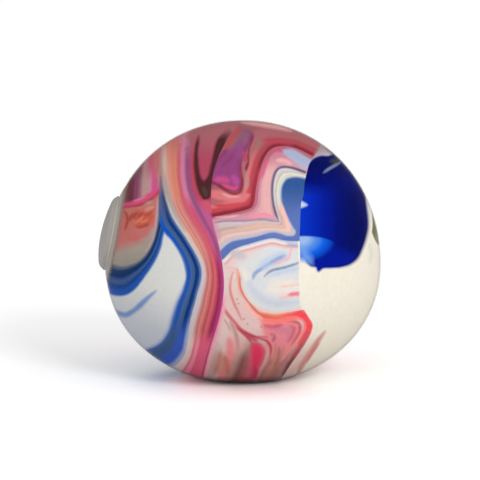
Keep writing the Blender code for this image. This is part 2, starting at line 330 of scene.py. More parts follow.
filling = ball("filling", DOUGH_DEPTH, FINENESS)
plug_half, rest = split(filling, plug_side, "plug_half", "rest")
plug_end, white_pocket = split(plug_half, over_pocket, "plug_end_dough", "white_pocket_dough")
striped_fold, rest = split(rest, stripe_side, "striped_fold_dough", "rest")
middle_lumps, cream_end = split(rest, swirl_side, "middle_lumps", "cream_end_dough")
swirl_fold, rest = split(middle_lumps, over_heart, "swirl_fold_dough", "rest")
white_heart, coral_tongue = split(rest, over_coral, "white_heart_dough", "coral_tongue_dough")

# %% [markdown]
# Two more lumps are pressed into the cream end like eggs: a blue one, trimmed to its outline on the
# face, and an olive one of which the photograph shows only a sliver at the right edge.

# %% Press the blue and olive eggs into the cream
LOBE_DEPTH = 0.008
CORE_FINENESS = 6
EGG_FINENESS = 5
BLUE_CENTRE = (0.0239, -0.0193, 0.0425)
BLUE_EGG = (0.045, 0.043, 0.051)
BLUE_TURN = math.radians(-39.0)
OLIVE_CENTRE = (0.0303, 0.0, 0.0375)
OLIVE_EGG = (0.010, 0.017, 0.012)
BLUE_EDGE = [
    (283, 139), (333, 119), (393, 149), (393, 180), (366, 187), (369.5, 200), (372, 217), (372, 229),
    (369, 240), (365, 251), (359, 261), (351, 267), (341, 271), (322, 274), (317, 277), (308, 274),
    (290, 270), (283, 244),
]


def egg(name, size, place, turn):
    bpy.ops.mesh.primitive_ico_sphere_add(subdivisions=EGG_FINENESS, radius=0.5)
    obj = only(bpy.context.object)
    obj.name = name
    bpy.ops.transform.resize(value=size)
    obj.rotation_euler = (0.0, 0.0, turn)
    obj.location = place
    bpy.ops.object.transform_apply(location=True, rotation=True, scale=True)
    return obj


core = ball("core", DOUGH_DEPTH + LOBE_DEPTH, CORE_FINENESS)
blue_room = egg("blue_room", BLUE_EGG, BLUE_CENTRE, BLUE_TURN)
blue_outline = block("blue_outline", [tuple(point) for point in smooth(BLUE_EDGE, closed=True)[:-1]])
cut(blue_room, "INTERSECT", blue_outline)
cut(blue_room, "DIFFERENCE", core)
olive_room = egg("olive_room", OLIVE_EGG, OLIVE_CENTRE, 0.0)
blue_lobe, cream_end = split(cream_end, blue_room, "blue_lobe_dough", "cream_end_dough")
olive_lobe, cream_end = split(cream_end, olive_room, "olive_lobe_dough", "cream_end_dough")
drop(core, blue_room, blue_outline, olive_room)
drop(plug_side, over_pocket, stripe_side, swirl_side, over_heart, over_coral)

lumps = {
    "dough_plug_end": plug_end,
    "dough_white_pocket": white_pocket,
    "dough_striped_fold": striped_fold,
    "dough_swirl_fold": swirl_fold,
    "dough_white_heart": white_heart,
    "dough_coral_tongue": coral_tongue,
    "dough_cream_end": cream_end,
    "dough_blue_lobe": blue_lobe,
    "dough_green_lobe": olive_lobe,
}
for node, lump in lumps.items():
    lump.name = node.replace("dough_", "") + "_lump"
    print(lump.name, len(lump.data.polygons), "faces")

# %% [markdown]
# ## How the marbling is drawn
#
# The marbling is colour, not shape, so it belongs in materials. A texture made only of noise would never
# fall into these bands, so each lump carries a few measured values at every corner: how far it lies from
# a guide line, how far it is across a ribbon between two lines, or how deep inside an outline. The
# shader turns each value into bands of colour. Noise sways the bands a little, as kneading does, and
# less where the face turns away, because pixels lie far apart there.

# %% Measure places on the dough, in pixels
BACK_SWAY = 20.0
BACK_ONSET = 1.5
BACK_WAVES = (21, 34, 24, 37)
MARGIN = 10.0
PAST_RIBBON = 20


def spots_on(obj):
    """Where each corner lies on the ball's face, with the fold's turn undone and the back swayed."""
    points = corners(obj) - np.array(middle)
    across, along, out = (points @ np.array(axis) for axis in (RIGHT, UP, TOWARD))
    turn = twist_at(-out)
    x = MIDDLE_PIXEL[0] + (across * np.cos(turn) + along * np.sin(turn)) / pixel
    y = MIDDLE_PIXEL[1] - (along * np.cos(turn) - across * np.sin(turn)) / pixel
    amount = BACK_SWAY * np.clip(-out / (ball_width / 2), 0, 1) ** BACK_ONSET
    x += amount * (np.sin(y / BACK_WAVES[0]) + np.sin(x / BACK_WAVES[1] + 1.0))
    y += amount * (np.sin(x / BACK_WAVES[2] + 2.0) + np.cos(y / BACK_WAVES[3]))
    return np.column_stack([x, y])


def behind(obj):
    """Pixels that each corner lies behind the ball's middle, seen from the front."""
    points = corners(obj) - np.array(middle)
    return np.maximum(0, -points @ np.array(TOWARD)) / pixel


def nearest(spots, line):
    """Distance to a line, the side of it, and the share of its length at the nearest point."""
    steps = np.diff(line, axis=0)
    lengths = np.hypot(steps[:, 0], steps[:, 1])
    gone = np.concatenate([[0.0], np.cumsum(lengths)])
    best = np.full(len(spots), np.inf)
    side = np.zeros(len(spots))
    share = np.zeros(len(spots))
    for start, step, length, before in zip(line, steps, lengths, gone):
        off = spots - start
        part = np.clip(off @ step / length**2, 0, 1)
        distance = np.hypot(off[:, 0] - part * step[0], off[:, 1] - part * step[1])
        closer = distance < best
        best = np.where(closer, distance, best)
        side = np.where(closer, off[:, 0] * step[1] - off[:, 1] * step[0], side)
        share = np.where(closer, before + part * length, share)
    return best, np.where(side < 0, -1.0, 1.0), share / gone[-1]


def beside(spots, points):
    """Pixels from a line, positive on the left hand of someone who walks along it."""
    distance, side, _ = nearest(spots, smooth(points))
    return distance * side


def across(spots, left, right):
    """Share of the way from one line to the next: 0 on the first and 1 on the second."""
    past_left = beside(spots, left)
    past_right = beside(spots, right)
    share = past_left / np.maximum(past_left - past_right, 0.001)
    share = np.where(past_right > 0, 1 + past_right / PAST_RIBBON, share)
    return np.where(past_left < 0, past_left / PAST_RIBBON, share)


def close_by(spots, line, margin):
    """Which corners lie near enough to a line for it to matter there."""
    low, high = line.min(axis=0) - margin, line.max(axis=0) + margin
    return np.all((spots > low) & (spots < high), axis=1)


def within(spots, points):
    """Pixels inside a closed outline, negative outside it."""
    line = smooth(points, closed=True)
    near = close_by(spots, line, MARGIN)
    value = np.full(len(spots), -MARGIN)
    close = spots[near]
    distance, _, _ = nearest(close, line)
    inside = np.zeros(len(close), bool)
    for (x0, y0), (x1, y1) in zip(line[:-1], line[1:]):
        level = (close[:, 1] < y0) != (close[:, 1] < y1)
        reach_x = x0 + (close[:, 1] - y0) * (x1 - x0) / (y1 - y0 if y1 != y0 else 1e-9)
        inside ^= level & (close[:, 0] < reach_x)
    value[near] = np.where(inside, distance, -distance)
    return value


def stroke(spots, points, half, taper=(0.25, 0.25)):
    """Pixels inside a brush stroke of some half width that thins out at its ends."""
    line = smooth(points)
    near = close_by(spots, line, MARGIN + half)
    value = np.full(len(spots), -MARGIN)
    distance, _, share = nearest(spots[near], line)
    start = np.clip(share / taper[0], 0, 1)
    end = np.clip((1 - share) / taper[1], 0, 1)
    value[near] = half * np.sqrt(np.minimum(start, end)) - distance
    return value


# %% [markdown]
# The colours were read off the photograph and named. They are written as screen values, and
# Blender's shaders want linear light, so a helper converts them.

# %% Name the colours
SHADES = {
    "cream": (243, 236, 220), "shaded cream": (228, 224, 212), "chalk": (224, 224, 220),
    "dull chalk": (204, 208, 216), "heart white": (220, 221, 222), "warm white": (236, 228, 220),
    "pink white": (230, 206, 202), "pale grey": (208, 202, 196), "pale blue": (194, 208, 230),
    "mist": (206, 211, 222), "lavender": (174, 180, 208), "pale lilac": (204, 194, 198),
    "pale lavender": (208, 194, 204), "sky wisp": (128, 154, 204), "periwinkle": (168, 182, 216),
    "blue wisp": (150, 166, 206), "slate line": (126, 140, 172), "navy": (8, 50, 112),
    "deep navy": (0, 9, 92), "ink": (36, 60, 98), "ultramarine": (1, 24, 148),
    "deep ultramarine": (0, 14, 112), "royal": (34, 88, 178), "deep royal": (26, 68, 140),
    "bright royal": (4, 50, 190), "royal blue": (2, 38, 176), "cusp blue": (6, 92, 208),
    "azure": (10, 94, 222), "patch blue": (152, 184, 230), "patch azure": (80, 138, 224),
    "patch light": (112, 158, 228), "slate": (66, 96, 144), "deep slate": (52, 88, 150),
    "blue grey": (100, 112, 132), "denim": (94, 117, 181), "pale denim": (104, 124, 182),
    "wedge dusk": (136, 104, 120), "ash": (170, 161, 161), "rim grey": (196, 160, 150),
    "dull denim": (76, 104, 160), "soft brick": (206, 122, 106), "rose brick": (192, 108, 112),
    "low royal": (60, 96, 194), "low pink": (230, 100, 132), "milky collar": (216, 203, 194),
    "green white": (208, 212, 198), "tail rose": (210, 94, 104), "tail crimson": (178, 84, 92),
    "rose magenta": (206, 62, 110), "deep magenta": (172, 58, 124), "wedge tip": (78, 90, 134),
    "wedge grey": (90, 104, 148), "wedge navy": (50, 74, 128), "rose": (180, 74, 100),
    "dusty rose": (178, 104, 112), "dusky rose": (164, 96, 106), "rose grey": (186, 138, 138),
    "rose brown": (176, 102, 106), "rose pink": (202, 100, 122), "rose salmon": (202, 118, 114),
    "rose purple": (176, 78, 114), "rose red": (196, 76, 96), "rose stripe": (210, 98, 114),
    "rose crimson": (214, 92, 114), "rose pool": (210, 108, 124), "rose thread": (230, 166, 168),
    "rose thread dark": (210, 114, 120), "soft rose": (206, 134, 150), "pale rose": (226, 166, 164),
    "hot rose": (214, 84, 118), "stroke rose": (212, 150, 140), "curl rose": (220, 132, 128),
    "coral rose": (206, 110, 106), "pink grey": (192, 152, 148), "mauve": (164, 108, 124),
    "mauve grey": (202, 174, 176), "soft mauve": (204, 160, 174), "pale mauve": (194, 164, 166),
    "mauve pink": (208, 152, 168), "mauve line": (168, 130, 148), "orchid": (212, 92, 144),
    "pale orchid": (214, 138, 164), "orchid mauve": (190, 92, 144), "orchid pink": (210, 128, 160),
    "orchid violet": (184, 78, 152), "purple": (144, 74, 110), "violet": (152, 78, 132),
    "violet mauve": (152, 84, 126), "plum": (140, 64, 110), "plum violet": (152, 70, 126),
    "grey plum": (148, 96, 118), "plum pool": (184, 96, 116), "pink orchid": (198, 78, 134),
    "magenta": (184, 66, 132), "hot pink": (216, 86, 130), "bright pink": (228, 84, 134),
    "candy pink": (244, 142, 166), "pink": (212, 112, 142), "pale pink": (238, 176, 182),
    "light pink": (242, 146, 148), "dash pink": (242, 134, 148), "pink red": (208, 88, 114),
    "salmon pink": (220, 120, 124), "pink coral": (254, 132, 126), "red": (196, 72, 84),
    "bright red": (204, 76, 86), "deep red": (186, 68, 84), "maroon red": (174, 58, 72),
    "dusty red": (176, 76, 86), "brick red": (190, 82, 80), "brick line": (178, 82, 74),
    "brick coral": (228, 110, 98), "crimson": (232, 58, 98), "crimson rose": (188, 68, 88),
    "maroon": (138, 46, 60), "maroon rose": (190, 76, 86), "maroon stripe": (152, 48, 80),
    "dark maroon": (116, 56, 66), "brown maroon": (126, 78, 80), "tail brown": (128, 68, 68),
    "hook brown": (82, 40, 44), "hook grey": (80, 64, 60), "dark line": (112, 90, 118),
    "salmon": (206, 114, 104), "dusty salmon": (200, 122, 112), "dull salmon": (194, 126, 116),
    "light salmon": (224, 134, 124), "pale salmon": (226, 152, 136), "salmon rose": (238, 148, 150),
    "orange": (220, 136, 112), "light orange": (228, 128, 104), "orange red": (208, 96, 78),
    "peach": (224, 184, 168), "peach pink": (234, 172, 174), "pale peach": (246, 218, 208),
    "peach orange": (232, 168, 144), "orange coral": (242, 142, 104), "coral": (244, 112, 98),
    "red coral": (250, 82, 92), "pale coral": (255, 190, 176), "beige": (220, 188, 170),
    "pale beige": (210, 182, 168), "pink beige": (232, 196, 192), "pale pink beige": (230, 202, 194),
    "stone": (172, 158, 148), "grey": (160, 152, 142), "green grey": (148, 146, 136),
    "grey brown": (162, 114, 106), "tan grey": (208, 188, 184), "taupe": (196, 150, 142),
    "tan streak": (202, 140, 124), "tan orange": (202, 122, 96), "brown streak": (182, 114, 104),
    "brown mauve": (184, 122, 116), "dark brown": (142, 92, 90), "lilac grey": (168, 150, 154),
    "lilac pool": (218, 134, 154), "pool pink": (240, 140, 146), "pool mauve": (234, 138, 148),
    "olive": (118, 116, 78), "dark olive": (70, 72, 64), "frosted": (172, 168, 164),
    "clear veil": (176, 166, 160), "glue": (198, 190, 176),
}


def linear(name):
    """A named shade as linear red, green and blue."""
    screen = np.array(SHADES[name]) / 255
    return np.where(screen <= 0.04045, screen / 12.92, ((screen + 0.055) / 1.055) ** 2.4)


# %% [markdown]
# ## The dough's finish
#
# Three effects are shared by every lump, so each is a node group. One gives the noise that sways the
# bands. One gives fine streaks, drawn out along the bands as kneading draws them. The last gives dough
# its faint mottling, an uneven satin and a very fine unevenness.

# %% Build the shared node groups


def new_group(name, takes, gives):
    """An empty shader group with named sockets: numbers, or colours where the name is Colour."""
    group = bpy.data.node_groups.new(name, "ShaderNodeTree")
    for socket, direction in [(s, "INPUT") for s in takes] + [(s, "OUTPUT") for s in gives]:
        kind = "NodeSocketColor" if socket.startswith("Colour") else "NodeSocketFloat"
        group.interface.new_socket(socket, in_out=direction, socket_type=kind)
    return group, group.nodes.new("NodeGroupInput"), group.nodes.new("NodeGroupOutput")


def add(tree, kind, **values):
    """Add a node, set its properties, and fill or link the inputs that are given by name."""
    node = tree.nodes.new("ShaderNode" + kind)
    for key, value in values.items():
        if hasattr(node, key):
            setattr(node, key, value)
            continue
        socket = node.inputs[int(key[1:])] if key[1:].isdigit() else node.inputs[key.replace("_", " ")]
        if isinstance(value, bpy.types.NodeSocket):
            tree.links.new(value, socket)
        else:
            socket.default_value = value
    return node


def reckon(tree, operation, *values):
    """The result of a maths node on some numbers or sockets."""
    inputs = {f"i{number}": value for number, value in enumerate(values)}
    return add(tree, "Math", operation=operation, **inputs).outputs[0]


SWAY_SCALE = 190.0
RIPPLE_SCALE = 620.0
STREAK_LENGTH = 60.0
STREAK_PITCH = 0.009
MOTTLE_SCALE = 900.0
GRAIN_SCALE = 5200.0
SATIN_LEAST = 0.38
SATIN_RANGE = 0.16

kneading, _, kneaded = new_group("kneading", [], ["Sway", "Ripple"])
place = add(kneading, "TexCoord")
sway = add(kneading, "TexNoise", Vector=place.outputs["Object"], Scale=SWAY_SCALE, Detail=1.0)
ripple = add(kneading, "TexNoise", Vector=place.outputs["Object"], Scale=RIPPLE_SCALE, Detail=2.0)
for noise, socket in ((sway, "Sway"), (ripple, "Ripple")):
    centred = reckon(kneading, "MULTIPLY_ADD", noise.outputs["Fac"], 2.0, -1.0)
    kneading.links.new(centred, kneaded.inputs[socket])

fine_streaks, band, streaked = new_group("fine streaks", ["Band", "Strength"], ["Shade"])
place = add(fine_streaks, "TexCoord")
thread = reckon(fine_streaks, "MULTIPLY", band.outputs["Band"], STREAK_PITCH)
threads = add(fine_streaks, "TexNoise", noise_dimensions="4D", Vector=place.outputs["Object"],
              W=thread, Scale=STREAK_LENGTH, Detail=2.0)
centred = reckon(fine_streaks, "MULTIPLY_ADD", threads.outputs["Fac"], 2.0, -1.0)
streak = reckon(fine_streaks, "MULTIPLY_ADD", centred, band.outputs["Strength"], 1.0)
fine_streaks.links.new(streak, streaked.inputs["Shade"])

dough_finish, raw, finished = new_group(
    "dough finish", ["Colour", "Mottle"], ["Colour", "Roughness", "Height"]
)
place = add(dough_finish, "TexCoord")
mottle = add(dough_finish, "TexNoise", Vector=place.outputs["Object"], Scale=MOTTLE_SCALE, Detail=3.0)
grain = add(dough_finish, "TexNoise", Vector=place.outputs["Object"], Scale=GRAIN_SCALE, Detail=2.0)
lift = reckon(dough_finish, "SUBTRACT", mottle.outputs["Fac"], 0.5)
shade = reckon(dough_finish, "MULTIPLY_ADD", lift, raw.outputs["Mottle"], 1.0)
tone = add(dough_finish, "VectorMath", operation="SCALE", i0=raw.outputs["Colour"], Scale=shade)
satin = reckon(dough_finish, "MULTIPLY_ADD", mottle.outputs["Fac"], SATIN_RANGE, SATIN_LEAST)
dough_finish.links.new(tone.outputs[0], finished.inputs["Colour"])
dough_finish.links.new(satin, finished.inputs["Roughness"])
dough_finish.links.new(grain.outputs["Fac"], finished.inputs["Height"])

# %% [markdown]
# A layer is one measured value with its list of bands. Each band is named by the value at which it ends,
# and a band of no colour lets the layers below show. A layer may be held back by a second value, its
# veil, which says where it fades in.

# %% Turn measured values into layers of colour
MOTTLE = 0.10
LEAST_SWAY = 0.1
GRAIN_HEIGHT = 0.00001
DOUGH_GLOSS = 0.02
MOST_BLUR = 0.9
STROKE_DEPTH = 8.0
STROKE_SWAY = 0.4


def layer(value, bands, start=0.0, blur=1.0, sway=0.8, ripple=0.3, veil=None):
    return dict(value=value, bands=bands, start=start, blur=blur, sway=sway, ripple=ripple, veil=veil)


def store(obj, name, value, tree):
    """Keep a measured value on the mesh, and give the socket that reads it in a material."""
    mark = obj.data.attributes.new(name, "FLOAT", "POINT")
    mark.data.foreach_set("value", value.astype(np.float32))
    return add(tree, "Attribute", attribute_name=name).outputs["Fac"]


def new_surface(name, obj):
    """Put a new material on an object, and give its node tree and its shader."""
    material = bpy.data.materials.new(name)
    material.use_nodes = True
    obj.data.materials.clear()
    obj.data.materials.append(material)
    return material.node_tree, material.node_tree.nodes["Principled BSDF"]


def finish_surface(tree, shader, colour, mottle, rougher=0.0):
    """Give a shader the shared finish in some colour, rougher or smoother than dough."""
    finish = add(tree, "Group", node_tree=dough_finish, Colour=colour, Mottle=mottle)
    satin = reckon(tree, "ADD", finish.outputs["Roughness"], rougher)
    bump = add(tree, "Bump", Distance=GRAIN_HEIGHT, Height=finish.outputs["Height"])
    tree.links.new(finish.outputs["Colour"], shader.inputs["Base Color"])
    tree.links.new(satin, shader.inputs["Roughness"])
    tree.links.new(bump.outputs["Normal"], shader.inputs["Normal"])


def ramp_stops(bands, start, blur):
    """Places, shades and opacities along the bands: two for each meeting of bands."""
    shades = [shade for _, shade in bands]
    shown = [shade or shades[max(i - 1, 0)] or shades[min(i + 1, len(shades) - 1)]
             for i, shade in enumerate(shades)]
    stops = []
    low = start
    for i, (high, shade) in enumerate(bands):
        soft = min(blur, MOST_BLUR * (high - low)) / 2
        colour = (*linear(shown[i]), 1.0 if shade else 0.0)
        stops.append((low + (soft if i else 0.0), colour))
        stops.append((high - (soft if i < len(bands) - 1 else 0.0), colour))
        low = high
    return stops


def brushes(spots, strokes):
    """A layer for each brush stroke: its line, half width, shade, softness and, if it matters, taper."""
    return [
        layer(stroke(spots, points, half, *taper), [(0.0, None), (STROKE_DEPTH, shade)],
              start=-soft, blur=soft, sway=STROKE_SWAY)
        for points, half, shade, soft, *taper in strokes
    ]


def marble(name, obj, ground, layers, band, streak_strength):
    """Store a lump's measured values and build its material from them."""
    tree, shader = new_surface(name, obj)
    drift = add(tree, "Group", node_tree=kneading)
    out = (corners(obj) - np.array(middle)) @ np.array(TOWARD)
    face_on = store(obj, "face_on", np.clip(np.abs(out) / (ball_width / 2), LEAST_SWAY, 1), tree)
    pushes = {
        push: reckon(tree, "MULTIPLY", drift.outputs[push], face_on) for push in ("Sway", "Ripple")
    }
    colour = (*linear(ground), 1.0)
    for number, item in enumerate(layers):
        mark = f"mark_{number:02d}"
        value = store(obj, mark, item["value"], tree)
        for push, noise in pushes.items():
            value = reckon(tree, "MULTIPLY_ADD", noise, item[push.lower()], value)
        stops = ramp_stops(item["bands"], item["start"], item["blur"])
        first, last = stops[0][0], stops[-1][0]
        scaled = add(tree, "MapRange", Value=value, From_Min=first, From_Max=last)
        ramp = add(tree, "ValToRGB", Fac=scaled.outputs[0])
        while len(ramp.color_ramp.elements) < len(stops):
            ramp.color_ramp.elements.new(1.0)
        for element, (spot, shade) in zip(ramp.color_ramp.elements, stops):
            element.position = (spot - first) / (last - first)
            element.color = shade
        cover = ramp.outputs["Alpha"]
        if item["veil"] is not None:
            veil_value, hidden, full = item["veil"]
            seen = store(obj, mark + "_veil", veil_value, tree)
            fade = add(tree, "MapRange", interpolation_type="SMOOTHSTEP", Value=seen,
                       From_Min=hidden, From_Max=full)
            cover = reckon(tree, "MULTIPLY", cover, fade.outputs[0])
        mixed = add(tree, "Mix", data_type="RGBA", Factor=cover, i6=colour, i7=ramp.outputs["Color"])
        colour = mixed.outputs[2]
    band_place = store(obj, "streak_band", band, tree)
    drawn = add(tree, "Group", node_tree=fine_streaks, Strength=streak_strength, Band=band_place)
    tinted = add(tree, "VectorMath", operation="SCALE", i0=colour, Scale=drawn.outputs["Shade"])
    finish_surface(tree, shader, tinted.outputs[0], MOTTLE)
    shader.inputs["Specular IOR Level"].default_value = DOUGH_GLOSS
    print(name, "has", len(layers), "layers")


# %% [markdown]
# ## Behind the plug: rose dough over a blue band
#
# From the fold leftward the stripes run pink, grey and maroon. A hot pink stroke ends them, and below it
# lies salmon dough that greys out toward a blue band, which curves round the white pocket.

# %% Draw the plug end
HOT_LINE = [
    (180, 180), (163, 187.5), (157, 191.5), (152, 195.5), (146, 199.5), (140, 202.5), (133, 204),
    (122, 205), (60, 207),
]
BAND_EDGE = [
    (175, 150), (160, 196), (159.3, 212), (158, 226), (156, 235), (153, 243.5), (149, 251),
    (144, 257.5), (139, 261.5), (132, 264.6), (122, 266.5), (110, 263), (60, 245),
]
GREY_SLOPE = 0.25
GREY_FROM = 120
GREY_LAG = 3.5
PLUG_RIM = [(126, 170), (122, 192), (118.5, 212), (116, 228), (113.5, 242), (109, 266), (104, 285)]
plug_end_strokes = [
    ([(156.5, 178), (155.5, 185), (154, 191)], 2.6, "orchid", 3.6),
    ([(157.5, 190), (152, 194.5), (147, 197.5), (140, 200.8), (131, 203)], 2.4, "bright pink", 2.6),
    ([(147, 196), (141, 199), (134, 201.2)], 0.8, "pale orchid", 1.8),
    ([(155, 197.5), (148, 202), (141, 205), (133, 206.3)], 1.1, "deep red", 2.2),
    ([(157, 203), (150, 204.5), (144, 206.5)], 3.0, "dull salmon", 4.0),
    ([(153, 202), (150, 203), (147, 204)], 1.1, "pink grey", 2.4),
    ([(131, 216), (139, 216), (147, 218), (155, 216)], 5.4, "orange red", 6.0),
    ([(135, 224), (143, 224.5), (151, 223)], 3.0, "orange red", 4.0),
    ([(123, 210), (126.5, 213.5), (128, 219), (127, 225.5), (125, 231)], 1.5, "brick line", 2.0),
    ([(129, 222), (131.5, 217.5), (134, 213.5)], 1.7, "brick line", 2.4),
    ([(134, 218.5), (136, 214.5), (138.5, 212)], 1.3, "brick line", 2.0),
    ([(139, 217.5), (141, 214.5), (143.5, 212.5)], 1.1, "brick line", 2.0),
    ([(134, 223), (138, 222), (141, 219.5), (144, 216.5)], 1.1, "light orange", 1.8),
    ([(140, 222.5), (145, 221.5), (149, 218.5)], 1.0, "light orange", 1.8),
    ([(136, 226.5), (140, 227.2), (145, 226), (150, 224)], 1.3, "brick line", 2.0),
    ([(145, 216), (149, 214.5), (154, 211.5)], 1.0, "brick line", 2.2),
    ([(146, 211), (150, 208.5), (155, 207)], 1.2, "pale salmon", 3.6),
    ([(126, 236), (135, 238), (142, 236)], 2.6, "coral rose", 5.0),
    ([(154, 228), (151.5, 237), (146, 245)], 2.4, "stone", 5.0),
    ([(158.3, 199), (157.8, 212), (157, 225), (155.3, 235), (151.5, 244), (146, 252)], 1.5,
     "pale mauve", 2.6),
]

spots = spots_on(plug_end)
below_hot = beside(spots, HOT_LINE)
from_fold = -beside(spots, PLUG_FOLD)
greying = below_hot + GREY_SLOPE * (spots[:, 0] - GREY_FROM) - GREY_LAG
plug_end_layers = [
    layer(from_fold, [
        (2.0, "rose grey"), (7.5, "orchid"), (10, "pale orchid"), (17.5, "pink grey"), (20.5, "mauve"),
        (25.5, "purple"), (31.5, "dark maroon"), (38, "brown maroon"), (70, "dusky rose"),
    ], blur=2.8, sway=1.2, ripple=0.5),
    layer(from_fold, [
        (5.5, "rose salmon"), (12, "rose pink"), (17, "rose grey"), (40, "brown maroon"),
    ], blur=4, sway=1.6, veil=(spots[:, 1], 184, 163)),
    layer(below_hot, [
        (-2.2, None), (1.6, "hot pink"), (3.4, "deep red"), (8.0, "dusty salmon"), (60, "salmon"),
    ], start=-6.0, blur=3.2, sway=1.4, ripple=0.8),
    layer(greying, [(27, None), (40, "rose salmon"), (51, "stone"), (64, "grey"), (90, "green grey")],
          start=8, blur=13, sway=2.4, ripple=1.6),
]
plug_end_layers += brushes(spots, plug_end_strokes)
plug_end_layers += [
    layer(beside(spots, PLUG_RIM), [(3.0, "rim grey"), (9, None)], start=-30, blur=5.0),
    layer(across(spots, BAND_EDGE, POCKET_FOLD), [
        (-0.02, None), (0.11, "blue grey"), (0.26, "ink"), (0.43, "navy"), (0.65, "slate"),
        (0.76, "deep royal"), (1.3, "royal"),
    ], start=-0.12, blur=0.18, sway=0.04, ripple=0.03),
]
marble("plug end marble", plug_end, "dusky rose", plug_end_layers, below_hot, 0.10)

# %% [markdown]
# ## The white pocket
#
# Chalk-white dough with one soft blue wisp. Its edges take a breath of blue from the dough that it
# touches.

# %% Draw the white pocket
POCKET_SHADE_LEAN = 0.35
WISP = [(158, 289.5), (150, 296), (142, 303.5), (134, 310.5), (126, 314.5), (118, 313), (105, 306)]

spots = spots_on(white_pocket)
lean = spots[:, 1] - POCKET_SHADE_LEAN * spots[:, 0]
from_fold = -beside(spots, PLUG_FOLD)
marble("white pocket marble", white_pocket, "chalk", [
    # Painted shade: the chalk turns a duller bluish grey toward the lower left, away from the light.
    layer(lean, [(255, "chalk"), (330, "dull chalk")], start=190, blur=40, sway=3),
    layer(stroke(spots, WISP, 3.2, (0.35, 0.1)), [(0.4, None), (6, "sky wisp")], start=-2.5, blur=3.2),
    layer(from_fold, [(1.2, "blue wisp"), (9, None)], blur=8, veil=(spots[:, 1], 276, 296)),
    layer(from_fold, [(0.5, "denim"), (1.4, "sky wisp"), (3.5, None)], blur=1.8, ripple=0.4),
    layer(beside(spots, POCKET_FOLD), [(0.5, "denim"), (1.4, "sky wisp"), (3.5, None)], blur=1.8,
          ripple=0.4),
], lean, 0.03)

# %% [markdown]
# ## The striped fold
#
# A blue wedge runs down its left side, and stripes drawn out between two guide lines fill the rest. The
# stripes change on the way down, so several sets are laid over each other, each fading in at its height.
# A dark hook is folded into the top.

# %% Draw the striped fold
WEDGE_EDGE = [
    (157, 60), (160, 130), (161, 165), (162, 178), (163.8, 190), (166, 200), (169.5, 210), (174, 220),
    (179.2, 228), (184.2, 235), (189.6, 244), (195.6, 254), (199.4, 262), (201.6, 271), (201, 280),
    (198.2, 290), (195, 303), (191, 317), (188.5, 330), (186.8, 342), (183.4, 354), (177.6, 362),
    (170, 367), (120, 400),
]
STRIPE_EDGE = [
    (215, 60), (196, 128), (191.5, 140), (190, 155), (190, 170), (191, 184), (196, 200), (206, 220),
    (212, 231), (217, 243), (220.5, 255), (222.5, 266), (224, 280), (224, 292), (222.5, 305),
    (219.5, 319), (215.5, 333), (211, 347), (207, 362), (203, 379), (185, 440),
]
STRIPE_PIXELS = 30
HOOK = [
    (199, 135), (195.8, 143), (194.4, 152), (194, 162), (194.8, 175), (197, 187), (200.5, 195.5),
    (205, 200.5), (209, 199), (212, 190), (213.5, 180), (216, 170), (219, 160), (223, 150), (227, 140),
    (232, 130), (229, 128), (223, 133), (217.5, 140), (214.2, 150), (212, 160), (210, 170),
    (207.5, 177.5), (204, 181), (201.4, 177.5), (199.6, 170), (198.7, 160), (198.5, 150), (199.4, 142),
]
striped_strokes = [
    ([(164.6, 174), (167.2, 190), (170.2, 200), (174.2, 210), (179.5, 220), (186, 231)], 2.2, "ash",
     5.0, (0.3, 0.7)),
    ([(160.6, 176), (161, 183), (161.5, 190)], 1.2, "wedge dusk", 3.2, (0.5, 0.6)),
    ([(161, 221), (163, 227), (166, 232), (171, 238.5), (177, 247)], 2.2, "cusp blue", 2.6),
    ([(203, 201), (208, 207), (211, 213)], 4.0, "pink red", 4.0),
    ([(206, 212), (209, 217), (213, 224)], 2.6, "orchid mauve", 3.4),
    ([(203.5, 187), (205.5, 193), (206, 197)], 2.0, "hook grey", 3.4),
]

